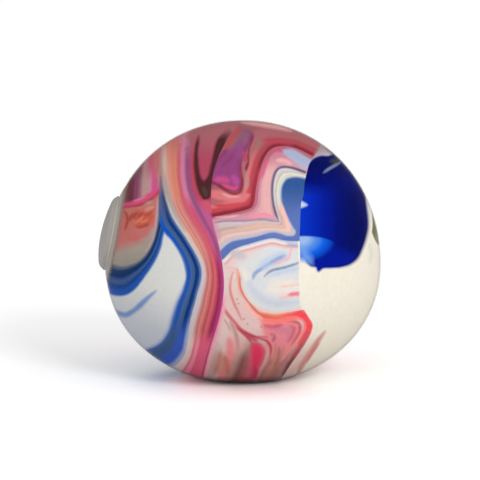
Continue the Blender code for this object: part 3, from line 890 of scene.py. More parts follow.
spots = spots_on(striped_fold)
height = spots[:, 1]
stripes = across(spots, WEDGE_EDGE, STRIPE_EDGE)
wedge = across(spots, PLUG_FOLD, WEDGE_EDGE)
past_stripes = beside(spots, STRIPE_EDGE)
marble("striped marble", striped_fold, "rose", [
    layer(past_stripes, [(0.0, "violet mauve"), (2.2, "rose purple"), (4.5, "red"), (30, "rose")],
          start=-10, blur=2.0),
    layer(past_stripes, [(-6, None), (-1, "violet mauve"), (5, "orchid mauve"), (20, "magenta")],
          start=-10, blur=3.4, veil=(height, 196, 212)),
    layer(stripes, [
        (0.03, "mist"), (0.20, "pale lilac"), (0.28, "stroke rose"), (0.345, "rose brick"),
        (0.42, "curl rose"), (0.49, "rose salmon"), (0.57, "brick red"), (0.70, "rose stripe"),
        (0.77, "crimson rose"), (0.86, "maroon stripe"), (0.94, "deep magenta"), (1.0, "magenta"),
        (1.06, None),
    ], start=-0.05, blur=0.07, sway=0.02, ripple=0.015),
    layer(stripes, [
        (0.04, "pale lavender"), (0.17, "pink white"), (0.29, "pink beige"), (0.37, "salmon pink"),
        (0.52, "candy pink"), (0.58, "low pink"), (0.92, "low pink"), (1.0, "rose purple"),
        (1.06, None),
    ], start=-0.05, blur=0.08, sway=0.02, ripple=0.015, veil=(height, 328, 346)),
    layer(stripes, [
        (0.02, "mist"), (0.12, "pale grey"), (0.20, "beige"), (0.28, "light salmon"),
        (0.325, "pale salmon"), (0.38, "soft brick"), (0.44, "stroke rose"), (0.53, "salmon pink"),
        (0.66, "rose stripe"), (0.80, "pink red"), (0.86, "orchid mauve"), (1.0, "violet mauve"),
        (1.06, None),
    ], start=-0.05, blur=0.07, sway=0.02, ripple=0.015, veil=(height, 272, 242)),
    layer(stripes, [
        (0.06, "rose grey"), (0.21, "pale beige"), (0.34, "pale salmon"), (0.56, "orange"),
        (0.68, "rose stripe"), (0.84, "orchid pink"), (0.96, "violet mauve"), (1.05, None),
    ], start=-0.05, blur=0.09, sway=0.03, ripple=0.015, veil=(height, 212, 190)),
    layer(stripes, [
        (0.3, "rose salmon"), (0.6, "rose salmon"), (0.85, "soft rose"), (1.1, "dusty rose"),
    ], start=-0.05, blur=0.2, veil=(height, 164, 130)),
    layer(wedge, [
        (0.28, "wedge grey"), (0.62, "wedge tip"), (0.94, "wedge navy"), (1.02, "blue grey"),
        (1.1, None),
    ], start=-0.1, blur=0.2, sway=0.04, ripple=0.02, veil=(height, 173, 199)),
    layer(wedge, [
        (0.03, "denim"), (0.30, "royal"), (0.38, "dull denim"), (0.60, "slate"), (0.74, "navy"),
        (0.90, "deep royal"), (0.98, "denim"), (1.07, None),
    ], start=-0.1, blur=0.12, sway=0.05, ripple=0.02, veil=(height, 203, 226)),
    layer(wedge, [
        (0.10, "dull denim"), (0.48, "slate"), (0.64, "low royal"), (0.92, "low royal"),
        (1.03, "periwinkle"), (1.1, None),
    ], start=-0.1, blur=0.2, sway=0.05, ripple=0.02, veil=(height, 314, 340)),
    layer(within(spots, HOOK), [(0, None), (4, "hook brown")], start=-3, blur=2.8, ripple=0.4,
          veil=(height, 126, 141)),
    *brushes(spots, striped_strokes),
], stripes * STRIPE_PIXELS, 0.10)

# %% [markdown]
# ## The swirl
#
# Ribbons of maroon, pink, peach and white turn two corners on their way from the top right to the fold
# on the left, round a slate-blue heart. A purple knob hangs in from the top.

# %% Draw the swirl
MAROON_EDGE = [
    (400, 184), (340, 172), (319, 161), (312, 157.4), (305, 153.8), (298, 150.4), (291, 148.2),
    (281, 147.5), (272, 150), (266.8, 155.5), (263.1, 163), (260.3, 172), (257.8, 182), (256.2, 193),
    (255.2, 202), (252.5, 208), (246, 211), (236, 213.6), (224, 216), (213, 218.2), (120, 234),
]
DARK_LINE = [
    (400, 205), (320, 180), (306, 173.3), (299, 170.7), (291, 168.3), (284, 167.5), (279, 168.7),
    (275.5, 172.5), (273.2, 179), (272, 188), (272.2, 197), (273.3, 206), (275.3, 213.5), (278, 220.5),
    (276.5, 222), (271, 220.9), (264, 219.8), (255, 220.4), (245, 221.3), (232, 221.2), (222, 221.7),
    (216, 223), (120, 238),
]
HEART_EDGE = [
    (400, 215), (312, 182), (302, 178.6), (293, 177.8), (286.3, 179.6), (282.2, 185.4), (280.5, 194),
    (281.2, 203), (284.1, 212), (287.9, 220.5), (292, 228), (294.6, 232.2), (293, 234.8),
    (288.5, 235.2), (282, 234), (274.5, 232), (267, 232.7), (258, 235), (248, 237.4), (238, 239.3),
    (230, 241.8), (225, 245), (220, 250), (120, 290),
]
KNOB = [
    (206, 187), (216, 185), (222, 187.5), (228, 191), (235, 193.3), (240, 191), (242, 184.5),
    (241.3, 175), (241, 166), (245, 156), (249, 146), (253, 136), (246, 130), (238, 133), (230, 144),
    (222, 153), (212, 168),
]
PATCH = [
    (280.5, 151.5), (285, 149.7), (292, 149.6), (299, 152.8), (306, 157), (312.5, 161.5), (310, 166.5),
    (305, 169.5), (298, 165.5), (291, 160.5), (285, 156),
]
swirl_strokes = [
    ([(306, 173.3), (299, 170.7), (291, 168.3), (284, 167.5), (279, 168.7), (275.5, 172.5), (273.2, 179),
      (272, 188), (272.2, 197), (273.3, 206), (275.3, 213.5), (278.5, 221.5)],
     1.25, "dark line", 1.6, (0.01, 0.1)),
    ([(279, 221.8), (271, 220.9), (264, 219.8), (255, 220.4), (245, 221.3), (232, 221.2), (222, 221.7),
      (216, 223), (205, 226)], 0.8, "mauve line", 1.5, (0.01, 0.2)),
    ([(206, 194), (216, 194.5), (228, 197.5), (240, 198.5), (250, 195)], 4.6, "salmon pink", 3.4),
    ([(222, 194), (230, 197), (240, 197)], 1.0, "pale rose", 2.4),
    ([(213, 205), (222, 206.2), (234, 205.8), (244, 203.5)], 2.2, "bright red", 2.8),
    ([(247, 217.8), (254, 216.2), (262, 214.6), (273, 216.5)], 1.5, "candy pink", 2.0),
    ([(215, 217.5), (228, 217), (240, 215.5)], 0.8, "pale pink", 1.8),
    ([(269.4, 158), (266, 165), (263.4, 173), (261.4, 180)], 1.2, "bright pink", 2.4),
    ([(272, 151.5), (278, 150.5), (283, 153)], 1.6, "hot pink", 2.8),
    ([(276, 161), (284, 161.5), (292, 165)], 2.4, "pale pink", 3.4),
    ([(280.5, 203), (283, 212), (286, 221), (288.5, 228.5), (285, 229.5)], 1.5, "pale coral", 2.2),
    ([(236, 228.5), (250, 227), (262, 225.5), (275, 226.5), (284, 229)], 2.0, "peach", 3.0),
    ([(264, 236), (274, 235), (286, 237.5)], 2.0, "pale denim", 2.6),
    ([(240, 143), (240, 152), (239, 160)], 2.6, "violet", 4.4),
    ([(228, 150), (236, 139), (246, 131)], 5.0, "grey plum", 7.0),
    ([(214, 181), (222, 180), (230, 182)], 3.4, "pink orchid", 4.4),
    ([(232, 176), (236, 181), (236, 186)], 3.0, "orchid violet", 4.4),
    ([(222, 185), (229, 187.5), (235, 189), (238.5, 186)], 1.6, "hot rose", 2.8),
    ([(206, 180), (214, 183.2), (221, 187.3), (228, 192), (234, 194.3), (239, 193), (242, 187),
      (242.3, 180), (240.8, 171), (241, 163)], 1.3, "maroon", 2.2),
    ([(242, 152), (245.5, 157), (245, 163)], 2.4, "rose", 3.8),
    ([(254, 134), (251.5, 142), (249, 150), (248, 158), (248.5, 162), (247, 166), (246, 171)], 0.9,
     "maroon", 1.7),
    ([(248.5, 163), (246.5, 168.5), (246, 171.5)], 1.2, "dark maroon", 2.0),
    ([(257, 137), (258, 143), (256, 149)], 2.4, "grey brown", 4.4),
    ([(246, 174), (247, 182), (246, 190)], 1.8, "rose grey", 3.8),
    ([(241, 127), (235, 134), (230, 142), (225.5, 150)], 3.0, "brick red", 5.0),
    # Painted highlight: this pale rose streak near the top edge stands in for the skin's glossy sheen.
    ([(240, 122.5), (252, 123.5), (266, 125.5), (280, 128), (292, 131.5)], 2.2, "pale rose", 3.4),
    ([(262, 141), (272, 140.5), (284, 142), (292, 145)], 2.4, "crimson rose", 4.4),
    ([(327, 135), (321.5, 145), (317.5, 152), (313, 158)], 1.0, "lilac grey", 4.0),
    ([(212, 222), (214.5, 230), (218, 241)], 4.4, "mauve pink", 7.0),
    ([(249, 131), (246, 138), (244, 146)], 2.4, "grey plum", 5.0),
    ([(222, 168), (228, 161), (233, 156)], 2.0, "plum", 5.0),
]

spots = spots_on(swirl_fold)
swirl_ribbon = beside(spots, MAROON_EDGE)
pink_ribbon = across(spots, MAROON_EDGE, DARK_LINE)
white_ribbon = across(spots, DARK_LINE, HEART_EDGE)
in_heart = beside(spots, HEART_EDGE)
marble("swirl marble", swirl_fold, "dusky rose", [
    layer(swirl_ribbon, [
        (-24, "dusky rose"), (-15, "dusty rose"), (-9.0, "rose brown"), (-4.0, "dusty red"),
        (0.2, "maroon red"), (4, "pink"),
    ], start=-45, blur=2.8, sway=0.9, ripple=0.3),
    layer(swirl_ribbon, [
        (-13, None), (-9.5, "salmon pink"), (-4.6, "red"), (0.0, "maroon"), (4, "pink"),
    ], start=-20, blur=2.6, sway=0.5, ripple=0.3, veil=(spots[:, 0], 262, 246)),
    layer(swirl_ribbon, [(-4.0, None), (0.2, "maroon"), (4, "pink")], start=-8, blur=2.0, sway=0.3,
          veil=(spots[:, 1], 176, 160)),
    layer(pink_ribbon, [
        (-0.02, None), (0.15, "pink"), (0.29, "soft mauve"), (0.40, "peach"), (0.52, "peach pink"),
        (0.58, "pale pink"), (0.70, "peach pink"), (0.77, "peach"), (0.85, "peach pink"),
        (0.97, "soft mauve"), (1.06, "pale lavender"), (1.2, None),
    ], start=-0.1, blur=0.08, sway=0.02, ripple=0.015),
    layer(pink_ribbon, [
        (-0.02, None), (0.14, "dusty rose"), (0.36, "soft rose"), (0.82, "mauve pink"),
        (0.97, "soft rose"), (1.06, "mauve line"), (1.2, None),
    ], start=-0.1, blur=0.12, sway=0.02, ripple=0.02, veil=(spots[:, 0], 270, 246)),
    layer(pink_ribbon, [
        (-0.02, None), (0.2, "dusty rose"), (0.8, "soft rose"), (0.97, "soft rose"),
        (1.06, "mauve line"), (1.2, None),
    ], start=-0.1, blur=0.12, sway=0.02, ripple=0.02, veil=(spots[:, 1], 174, 156)),
    layer(white_ribbon, [
        (0.0, None), (0.16, "pale lavender"), (0.30, "tan grey"), (0.42, "pale mauve"), (0.54, "peach"),
        (0.64, "pale beige"), (0.82, "pink beige"), (0.98, "tan grey"), (1.04, "mist"), (1.2, None),
    ], start=-0.1, blur=0.10, sway=0.02, ripple=0.02),
    layer(white_ribbon, [
        (0.0, None), (0.22, "mist"), (0.40, "pale grey"), (0.52, "pale beige"), (0.64, "chalk"),
        (0.98, "green white"), (1.04, "mist"), (1.2, None),
    ], start=-0.1, blur=0.12, sway=0.02, ripple=0.02, veil=(spots[:, 1], 216, 198)),
    layer(in_heart, [(-0.4, None), (0.8, "lavender"), (5, "denim"), (30, "denim")],
          start=-3, blur=2.0, ripple=0.3),
    layer(in_heart, [(0.0, None), (30, "deep slate")], start=-3, blur=3.0,
          veil=(spots[:, 1], 222, 184)),
    layer(within(spots, PATCH), [(0, None), (9, "lavender")], start=-3, blur=3.0, ripple=0.5),
    layer(within(spots, KNOB), [(0, None), (2.5, "plum"), (20, "plum violet")], start=-4, blur=4.4,
          sway=1.4),
    *brushes(spots, swirl_strokes),
], swirl_ribbon, 0.10)

# %% [markdown]
# ## The white heart
#
# White dough under the blue band of the swirl. It holds a fine rose line, pale blue feathers and a slate
# line where the fold was stirred, and a pink dash at its right edge.

# %% Draw the white heart
white_heart_strokes = [
    ([(286, 253), (276, 258), (266, 264), (258, 270)], 5.0, "pale blue", 6.0),
    ([(248.5, 279), (250.5, 286), (255, 292), (262, 298), (271, 302), (286, 302.5), (300, 300.5)], 4.0,
     "mist", 5.0),
    ([(228, 250), (237, 254), (246, 257)], 4.0, "pale lilac", 6.0),
    ([(286, 243.5), (293, 245), (300, 245)], 1.6, "blue wisp", 4.4),
    ([(266, 290), (278, 286), (300, 287)], 7.0, "warm white", 8.0),
    ([(236, 276), (243, 272), (247, 280)], 4.0, "warm white", 6.0),
    ([(302, 266), (290, 270), (278, 272.5), (268, 276.5)], 2.0, "pale blue", 3.6),
    ([(252.8, 279), (253.5, 274.5), (256, 271.5), (260, 269), (265, 266), (271, 262.5), (277, 259.5),
      (287, 255.5)], 1.5, "periwinkle", 2.8),
    ([(253, 279), (254, 275), (256.5, 272), (262, 268.5)], 1.5, "blue wisp", 2.6),
    ([(270, 262), (277, 258.5), (284, 255)], 1.2, "blue wisp", 3.0),
    ([(291, 246), (290, 252), (288, 258), (281, 261), (273, 264.5)], 1.1, "pale pink", 2.6),
    ([(301, 260.5), (296, 263.3), (290, 265.3), (284, 267.2), (277, 268.7), (271, 270.5), (267, 273),
      (263.5, 277)], 1.3, "slate line", 2.0),
    ([(303, 293.3), (297, 293.2), (291.5, 293.8), (287, 295)], 2.2, "dash pink", 2.6),
    ([(292, 296.5), (285, 296.5), (278, 297.5)], 1.0, "pale coral", 2.4),
    ([(302, 284), (292, 284.5), (279, 286.5)], 0.8, "pale coral", 2.4),
    ([(290, 291), (283, 291.5), (277, 293)], 0.8, "pale peach", 2.4),
]

spots = spots_on(white_heart)
under_band = -beside(spots, HEART_FOLD)
marble("white heart marble", white_heart, "heart white", [
    layer(under_band, [(14, "pink white"), (24, None)], blur=10, veil=(spots[:, 0], 266, 240)),
    layer(under_band, [
        (0.7, "lavender"), (1.6, "mist"), (4.0, "warm white"), (6.2, "rose thread"),
        (8.4, "pink white"), (14, None),
    ], blur=2.0, ripple=0.3),
    *brushes(spots, white_heart_strokes),
    layer(beside(spots, STRIPE_FOLD), [(1.0, "pink white"), (4, None)], blur=3.0),
    layer(beside(spots, CORAL_FOLD), [(1.5, "pink white"), (5, None)], blur=4.0),
    layer(-beside(spots, CREAM_FOLD), [(0.6, "cream"), (4, None)], blur=3.0),
], under_band, 0.04)

# %% [markdown]
# ## The coral tongue
#
# A coral band curls under the white heart and turns down at the right. Below it lies pink dough, and at
# the bottom the marbling runs out in upright streaks of grey, salmon, brown and crimson.

# %% Draw the coral tongue
RED_BAND_OUT = [
    (270, 311), (290, 311), (301, 308), (306, 311), (311, 320), (313.5, 325), (311.5, 332), (306, 341),
    (300, 349), (293, 358), (288, 352), (293, 345.5), (298.5, 338), (302.5, 331), (304.3, 325.5),
    (302, 320.5), (297, 317.5), (288, 317.5), (278, 318),
]
MAUVE_POOL = [
    (262, 321), (272, 322), (282, 321), (292, 320), (299, 324), (299, 332), (294, 341), (288, 349),
    (282, 358), (274, 360), (269, 348), (264, 335),
]
CRIMSON_DROP = [
    (251, 342), (257, 341), (262, 344), (265, 350), (264.5, 356), (262, 363), (259, 369), (256, 377),
    (251.5, 380), (250, 368), (249.5, 354),
]
tongue_strokes = [
    ([(224, 270), (228, 280), (227, 292)], 6.0, "pink white", 8.0),
    ([(236, 274), (235, 288)], 3.0, "pale peach", 5.0),
    ([(226, 318), (225, 330), (221, 344)], 4.0, "pale pink beige", 6.0),
    ([(230, 320), (234, 328), (237, 338), (238, 350)], 1.8, "taupe", 3.4),
    ([(224, 318), (228, 324), (231, 331)], 0.7, "taupe", 2.0),
    ([(229, 336), (230, 348), (229, 360)], 3.6, "salmon rose", 5.0),
    ([(221, 350), (219, 361), (214, 374)], 4.6, "tan streak", 8.0),
    ([(225, 356), (227, 365), (228, 374)], 2.2, "tan orange", 6.0),
    ([(275, 342), (275, 352), (272, 364)], 1.6, "tan streak", 3.0),
    ([(284, 345), (281, 354), (276, 366)], 1.4, "tan streak", 3.0),
    ([(279, 346), (278, 356), (274, 368)], 1.4, "brown streak", 3.0),
    ([(270, 328), (280, 328), (288, 331), (287, 340)], 3.0, "lilac pool", 4.6),
    ([(289, 325), (293, 327), (292, 334), (287, 342)], 1.8, "rose pool", 3.4),
    ([(270, 333), (274, 336), (272, 341)], 1.5, "plum pool", 3.0),
    ([(283, 320.5), (292, 320.5), (298.5, 323), (299.5, 329), (296, 337), (290, 345)], 1.6,
     "rose stripe", 2.4),
    ([(258, 318), (266, 320.5), (276, 321.5), (286, 319.5), (295, 318.5)], 2.2, "pink coral", 3.4),
    ([(264, 325), (272, 326), (282, 324)], 1.6, "hot rose", 4.0),
    ([(296, 317.5), (302.5, 320.5), (304, 326), (300.5, 334.5), (295, 343), (287, 352), (280, 362)], 1.1,
     "light pink", 2.0),
    ([(238.5, 270), (239, 280), (242, 290), (247, 298)], 2.6, "peach orange", 3.8),
    ([(235, 276), (234.5, 288), (238, 298)], 2.2, "pale pink beige", 4.0),
    ([(252, 263), (246, 264), (241, 266), (237, 269.5)], 1.4, "curl rose", 2.0),
    ([(233, 272), (230.8, 280), (230.3, 289), (232, 297), (235, 305), (238.5, 312), (242, 320)],
     1.1, "curl rose", 2.2),
    ([(240, 276), (240.5, 286), (244, 295), (249, 302)], 1.0, "brick coral", 2.4),
    ([(245, 297), (249, 301.5), (253, 307), (258, 312.5), (264, 315.5), (272, 316.5)], 1.6,
     "brick coral", 2.4),
    ([(243, 301), (248, 307), (254, 313), (262, 318)], 1.6, "pale coral", 3.4),
    ([(222, 303), (226, 311), (231, 317.5), (236, 323), (241, 328.5), (247, 332)], 1.7,
     "rose thread dark", 2.6),
    ([(236, 325), (242, 330.5), (249, 334), (256, 336.5)], 2.0, "rose red", 3.4),
    ([(239, 328), (246, 332.5), (253, 335.5), (261, 338), (267, 340.5), (270, 345), (271, 351)],
     1.2, "maroon rose", 2.0),
    ([(240, 330), (245, 334), (249, 338.5), (253, 343)], 1.2, "maroon rose", 2.2),
    ([(247, 334.5), (252, 338), (258, 340)], 1.6, "rose red", 3.0),
    ([(266, 340), (269.5, 344), (270.5, 350), (269.5, 356)], 1.0, "maroon rose", 2.8),
    ([(256, 336), (262, 336), (268, 336.5)], 1.0, "pink red", 2.4),
]
tail_strokes = [
    ([(309, 330), (304.5, 338), (299, 346.5)], 3.0, "tail rose", 4.0, (0.5, 0.2)),
    ([(302, 343), (296.5, 351.5), (291, 360)], 2.8, "tail crimson", 4.0, (0.5, 0.2)),
    ([(294, 356), (288.5, 364.5), (283, 377)], 2.6, "tail brown", 3.6, (0.4, 0.1)),
    ([(254, 364), (255.5, 370), (255, 378)], 1.8, "rose magenta", 4.0),
]
STREAK_STRETCH = 0.7
SPECK_RADIUS = 1.1
SPECKS = [
    (237, 298.5), (238.5, 303), (247.5, 323), (261, 326), (264, 327), (272, 335), (237, 334), (244, 318),
]

spots = spots_on(coral_tongue)
height = spots[:, 1]
past_stripes = beside(spots, STRIPE_FOLD)
streaks = across(spots, STRIPE_FOLD, CREAM_FOLD)
under_coral = -beside(spots, CORAL_FOLD)
specks = np.max([SPECK_RADIUS - np.hypot(spots[:, 0] - x, spots[:, 1] - y) for x, y in SPECKS], axis=0)
marble("coral tongue marble", coral_tongue, "pink beige", [
    layer(streaks, [
        (0.04, "soft mauve"), (0.09, "mauve grey"), (0.15, "tan grey"), (0.19, "pale pink beige"),
        (0.33, "salmon rose"), (0.40, "taupe"), (0.49, "dark brown"), (0.53, "rose brown"),
        (0.68, "rose pool"), (0.72, "pale rose"), (0.78, "brown mauve"), (0.84, "tan streak"),
        (0.92, "brown mauve"), (1.0, "rose grey"),
    ], start=-0.05, blur=0.09, sway=0.03, ripple=0.015, veil=(height, 326, 362)),
    layer(within(spots, MAUVE_POOL), [(0, None), (5, "pool pink"), (12, "pool mauve")],
          start=-6, blur=7.0, sway=1.2, ripple=0.6),
    layer(under_coral, [
        (0.9, "pale coral"), (3.4, "orange coral"), (6.0, "coral"), (9.0, "pink coral"), (14, None),
    ], blur=2.4, sway=0.7, ripple=0.4, veil=(spots[:, 0], 248, 268)),
    layer(within(spots, CRIMSON_DROP), [(0, None), (3, "rose crimson"), (9, "crimson")], start=-3,
          blur=3.6),
    *brushes(spots, tongue_strokes),
    layer(within(spots, RED_BAND_OUT), [(0, None), (1.6, "pink coral"), (8, "red coral")], start=-2,
          blur=2.2, veil=(np.minimum((spots[:, 0] - 276) / 16, (352 - height) / 14), 0, 1)),
    *brushes(spots, tail_strokes),
    layer(specks, [(0, None), (2, "taupe")], start=-1, blur=1.2, sway=0.0),
    layer(past_stripes, [(0.9, "pink white"), (3.5, None)], blur=2.4, veil=(height, 306, 286)),
    layer(past_stripes, [(1.4, "candy pink"), (3.4, "pale pink"), (7, None)], blur=3.0,
          veil=(height, 290, 306)),
    # Painted shade: the dough darkens to maroon along the very bottom, where the ball meets the floor.
    layer(height, [(379, None), (393, "dark maroon")], start=370, blur=8),
], under_coral * STREAK_STRETCH, 0.08)

# %% [markdown]
# ## The cream end, the blue lump and the olive lump
#
# Cream dough fills the right side. The blue lump's paint keeps to its outline on the face with a soft
# edge: royal at the left, almost black in the middle, and a pale patch under a sharp edge low down. It
# rounds off behind the middle, so that the back doesn't show it twice.

# %% Draw the cream end
BLOB = [
    (296, 182), (302, 177), (306, 171), (309.5, 163.6), (314.6, 159), (321, 156.8), (328, 156.8),
    (336, 153.5), (348, 146), (366, 156), (374, 174), (367, 186), (364.8, 198), (365.6, 207),
    (366.8, 217), (367, 227), (365, 237), (361.2, 248), (356, 258), (349.5, 263.5), (341, 266.5),
    (330, 267.5), (322, 268), (317.5, 271), (315.5, 267), (310, 265.5), (306, 261), (303.5, 254),
    (300.5, 248), (296, 242),
]
BLOB_ROUNDING = 26.0
EDGE_SHADE_LEAN = 0.5


def blob_depth(obj, spots):
    """Pixels inside the blue paint's outline, which draws in behind the ball's middle."""
    return within(spots, BLOB) - behind(obj) ** 2 / BLOB_ROUNDING


def blob_and_edge_shade(spots, depth):
    """Painted shade and sheen above the blue paint near the upper right edge, and that paint; both run
    over two lumps.
    """
    return [
        # Painted shade and sheen: a lilac-grey veil over the upper right, where the ball turns away.
        layer(spots[:, 1] + EDGE_SHADE_LEAN * spots[:, 0], [
            (316, "lilac grey"), (328, "pale lilac"), (350, None),
        ], start=250, blur=12, sway=3),
        # Painted shade: a dark olive line along the upper right edge.
        *brushes(spots, [
            ([(325, 145), (334, 152), (343, 160), (352, 170), (360, 182)], 3.6, "dark olive", 6.0),
        ]),
        layer(depth, [(-0.6, None), (2.0, "ultramarine"), (9, "ultramarine")], start=-4, blur=2.8,
              sway=0.4),
    ]


spots = spots_on(cream_end)
past_cream = beside(spots, CREAM_FOLD)
marble("cream marble", cream_end, "cream", [
    *blob_and_edge_shade(spots, blob_depth(cream_end, spots)),
    layer(past_cream, [(4, "pale pink beige"), (10, "pink beige"), (24, None)], blur=6, sway=1.5,
          veil=(spots[:, 1], 330, 358)),
    *brushes(spots, [
        ([(325, 330), (319, 338), (313, 347), (307, 356), (301, 366), (296, 378)],
         2.6, "stroke rose", 3.4),
        ([(318, 343), (312, 352), (306, 362)], 1.0, "rose stripe", 3.0),
        ([(368, 243), (371, 253), (369, 264)], 2.0, "shaded cream", 4.0),
    ]),
], past_cream, 0.02)

# %% Draw the blue and olive lumps
BLUE_LEAN = 0.3
PATCH_CENTRE = (298, 238)
PATCH_STRETCH = (1.3, 0.9)
PATCH_EDGE = [(280, 236.5), (300, 236.3), (311, 236.5), (324, 238.5), (335, 243), (345, 253)]
NOTCH = [(298, 200), (301, 201.3), (304, 203), (306.8, 205.3), (303.5, 207.2), (298, 208)]

spots = spots_on(blue_lobe)
inside_blob = blob_depth(blue_lobe, spots)
under_patch = -beside(spots, PATCH_EDGE)
patch = np.hypot(*((spots - PATCH_CENTRE) / PATCH_STRETCH).T)
marble("blue lump marble", blue_lobe, "cream", [
    *blob_and_edge_shade(spots, inside_blob),
    layer(inside_blob, [(-0.8, None), (9, "deep navy")], start=-7, blur=6.0,
          veil=(spots[:, 0], 338, 356)),
    layer(spots[:, 0], [
        (308, "bright royal"), (318, "royal blue"), (332, "ultramarine"), (346, "deep ultramarine"),
        (372, "deep navy"),
    ], start=290, blur=12, sway=2.0, veil=(inside_blob, -0.5, 2.0)),
    layer(spots[:, 1], [(176, "deep navy"), (188, "deep ultramarine"), (206, None)], start=150, blur=16,
          sway=2.0, veil=(inside_blob, -1.5, 1.0)),
    layer(spots[:, 1] - BLUE_LEAN * spots[:, 0], [(148, None), (180, "ultramarine")],
          start=130, blur=12, sway=2.0, veil=(inside_blob, 0.0, 3.0)),
    layer(patch, [(11, "patch blue"), (16, "patch azure"), (24, "azure"), (42, None)],
          blur=9.0, sway=1.0, veil=(under_patch, -1.2, 1.4)),
    layer(within(spots, NOTCH), [(0, None), (5, "pale blue")], start=-3, blur=2.6),
    *brushes(spots, [
        ([(300, 246), (304, 254), (311, 263)], 3.2, "patch light", 9.0),
        # Painted shade: a dark olive line where the blob's top meets the upper right edge.
        ([(330, 161.5), (336, 161), (342, 158)], 2.2, "dark olive", 5.0),
        # Painted highlight: a pale slate line along the blob's top.
        ([(322.5, 173.5), (328, 169.5), (334, 166), (341, 162)], 1.3, "slate line", 2.2),
    ]),
], under_patch, 0.04)

spots = spots_on(olive_lobe)
marble("olive lump marble", olive_lobe, "olive", [
    layer(spots[:, 1], [(212, "tan grey"), (238, "olive"), (270, "green grey")], start=190, blur=14,
          sway=4),
], spots[:, 0], 0.1)

# %% [markdown]
# ## Room for the plug
#
# The plug's axis is the squeeze joint's axis turned outward, and its seat is where the part's glue ring
# sits. A flat seat is sliced off the ball there, and a neck is cut into the dough for the skin's collar
# and the plug's stem, a little longer than the stem, because the dough yields less than the plug moves.

# %% Slice the seat and bore the neck
COLLAR_DIAMETER = 0.016
COLLAR_DEPTH = 0.004
BORE_DIAMETER = 0.010
STEM_ROOM_DIAMETER = 0.0130
STEM_ROOM_DEPTH = 0.0108
SEAT_OFFSET = 0.0002
SEAT_FILM = 0.00006
SEAT_GAP = 0.00003
ROUND_STEPS = 96
CAP_DIAMETER = 0.030
ROD_END = 0.010
BORE_START = -0.020
COLLAR_GAP = 0.0001

press = Vector(frame["record"]["behaviour"]["joints"][0]["axis"])
outward = -press.normalized()
tilt = math.asin(outward.z)
glue_low, glue_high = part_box("glue_ring")
seat = (glue_low + glue_high) / 2
plug_low, plug_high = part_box("fill_plug")
head_diameter = plug_high.y - plug_low.y
print("plug head", round(head_diameter * 1000, 2), "mm across, tilted", round(math.degrees(tilt), 1))


def rod(name, diameter, start, end):
    """A round rod along the plug's axis, between two distances outward from the glue."""
    bpy.ops.object.select_all(action="DESELECT")
    bpy.ops.mesh.primitive_cylinder_add(
        vertices=ROUND_STEPS, radius=diameter / 2, depth=end - start,
        location=seat + outward * (start + end) / 2, rotation=(0.0, tilt - math.pi / 2, 0.0),
    )
    obj = bpy.context.object
    obj.name = name
    bpy.ops.object.transform_apply(location=True, rotation=True, scale=True)
    return obj


cap = rod("cap", CAP_DIAMETER, -SEAT_OFFSET - SEAT_FILM - SEAT_GAP, ROD_END)
neck = rod("neck", COLLAR_DIAMETER, -COLLAR_DEPTH - SEAT_OFFSET, ROD_END)
stem_room = rod("stem_room", STEM_ROOM_DIAMETER, -STEM_ROOM_DEPTH, ROD_END)
for lump in (plug_end, white_pocket):
    for cutter in (cap, neck, stem_room):
        cut(lump, "DIFFERENCE", cutter)
drop(cap, neck, stem_room)

# %% [markdown]
# ## The clear skin
#
# Two balls, one inside the other, make the film. The collar round the fill hole is solid rubber. The
# film is nearly clear with a satin surface. Where the ball turns away it shows a grey veil of painted
# reflection.

# %% Model the skin
SKIN_FINENESS = 7

clear_skin = ball("clear_skin", 0.0, SKIN_FINENESS)
hollow = ball("hollow", FILM, SKIN_FINENESS)
cap = rod("cap", CAP_DIAMETER, -SEAT_OFFSET, ROD_END)
cut(clear_skin, "DIFFERENCE", cap)
inner_cap = rod("inner_cap", CAP_DIAMETER, -SEAT_OFFSET - SEAT_FILM, ROD_END)
cut(hollow, "DIFFERENCE", inner_cap)
collar = rod("collar", COLLAR_DIAMETER - COLLAR_GAP, -COLLAR_DEPTH - SEAT_OFFSET, ROD_END)
cut(hollow, "DIFFERENCE", collar)
cut(clear_skin, "DIFFERENCE", hollow)
bore = rod("bore", BORE_DIAMETER, BORE_START, ROD_END)
cut(clear_skin, "DIFFERENCE", bore)
drop(hollow, cap, inner_cap, collar, bore)
print("skin has", len(clear_skin.data.polygons), "faces")

# %% [markdown]
# ## The plug and its glue
#
# A moulded stopper is a turned shape, so half of its section is drawn once and spun round its axis: a
# domed head on a thin flange, a stem, a barb behind the collar and a hollow end. The head was moulded a
# little askew: it is higher on its lower side. The glue is a flat ring with a bead that fills the groove
# between the flange and the ball's round face, so the bead is trimmed by a copy of that face.

# %% Spin the plug and the glue
HEAD_BASE = 0.0002
HEAD_CROWN = 0.0026
STEM_DIAMETER = 0.0096
BARB_DIAMETER = 0.0124
STEM_TIP = -0.0078
HOLLOW_RADIUS = 0.0023
HOLLOW_TOP = -0.0028
BEAD_OUT = 0.00004
GROOVE = 0.0006
HEAD_LEAN = 0.14
GLUE_GAP = 0.00001
GLUE_HOLE = 0.0050

rim = head_diameter / 2


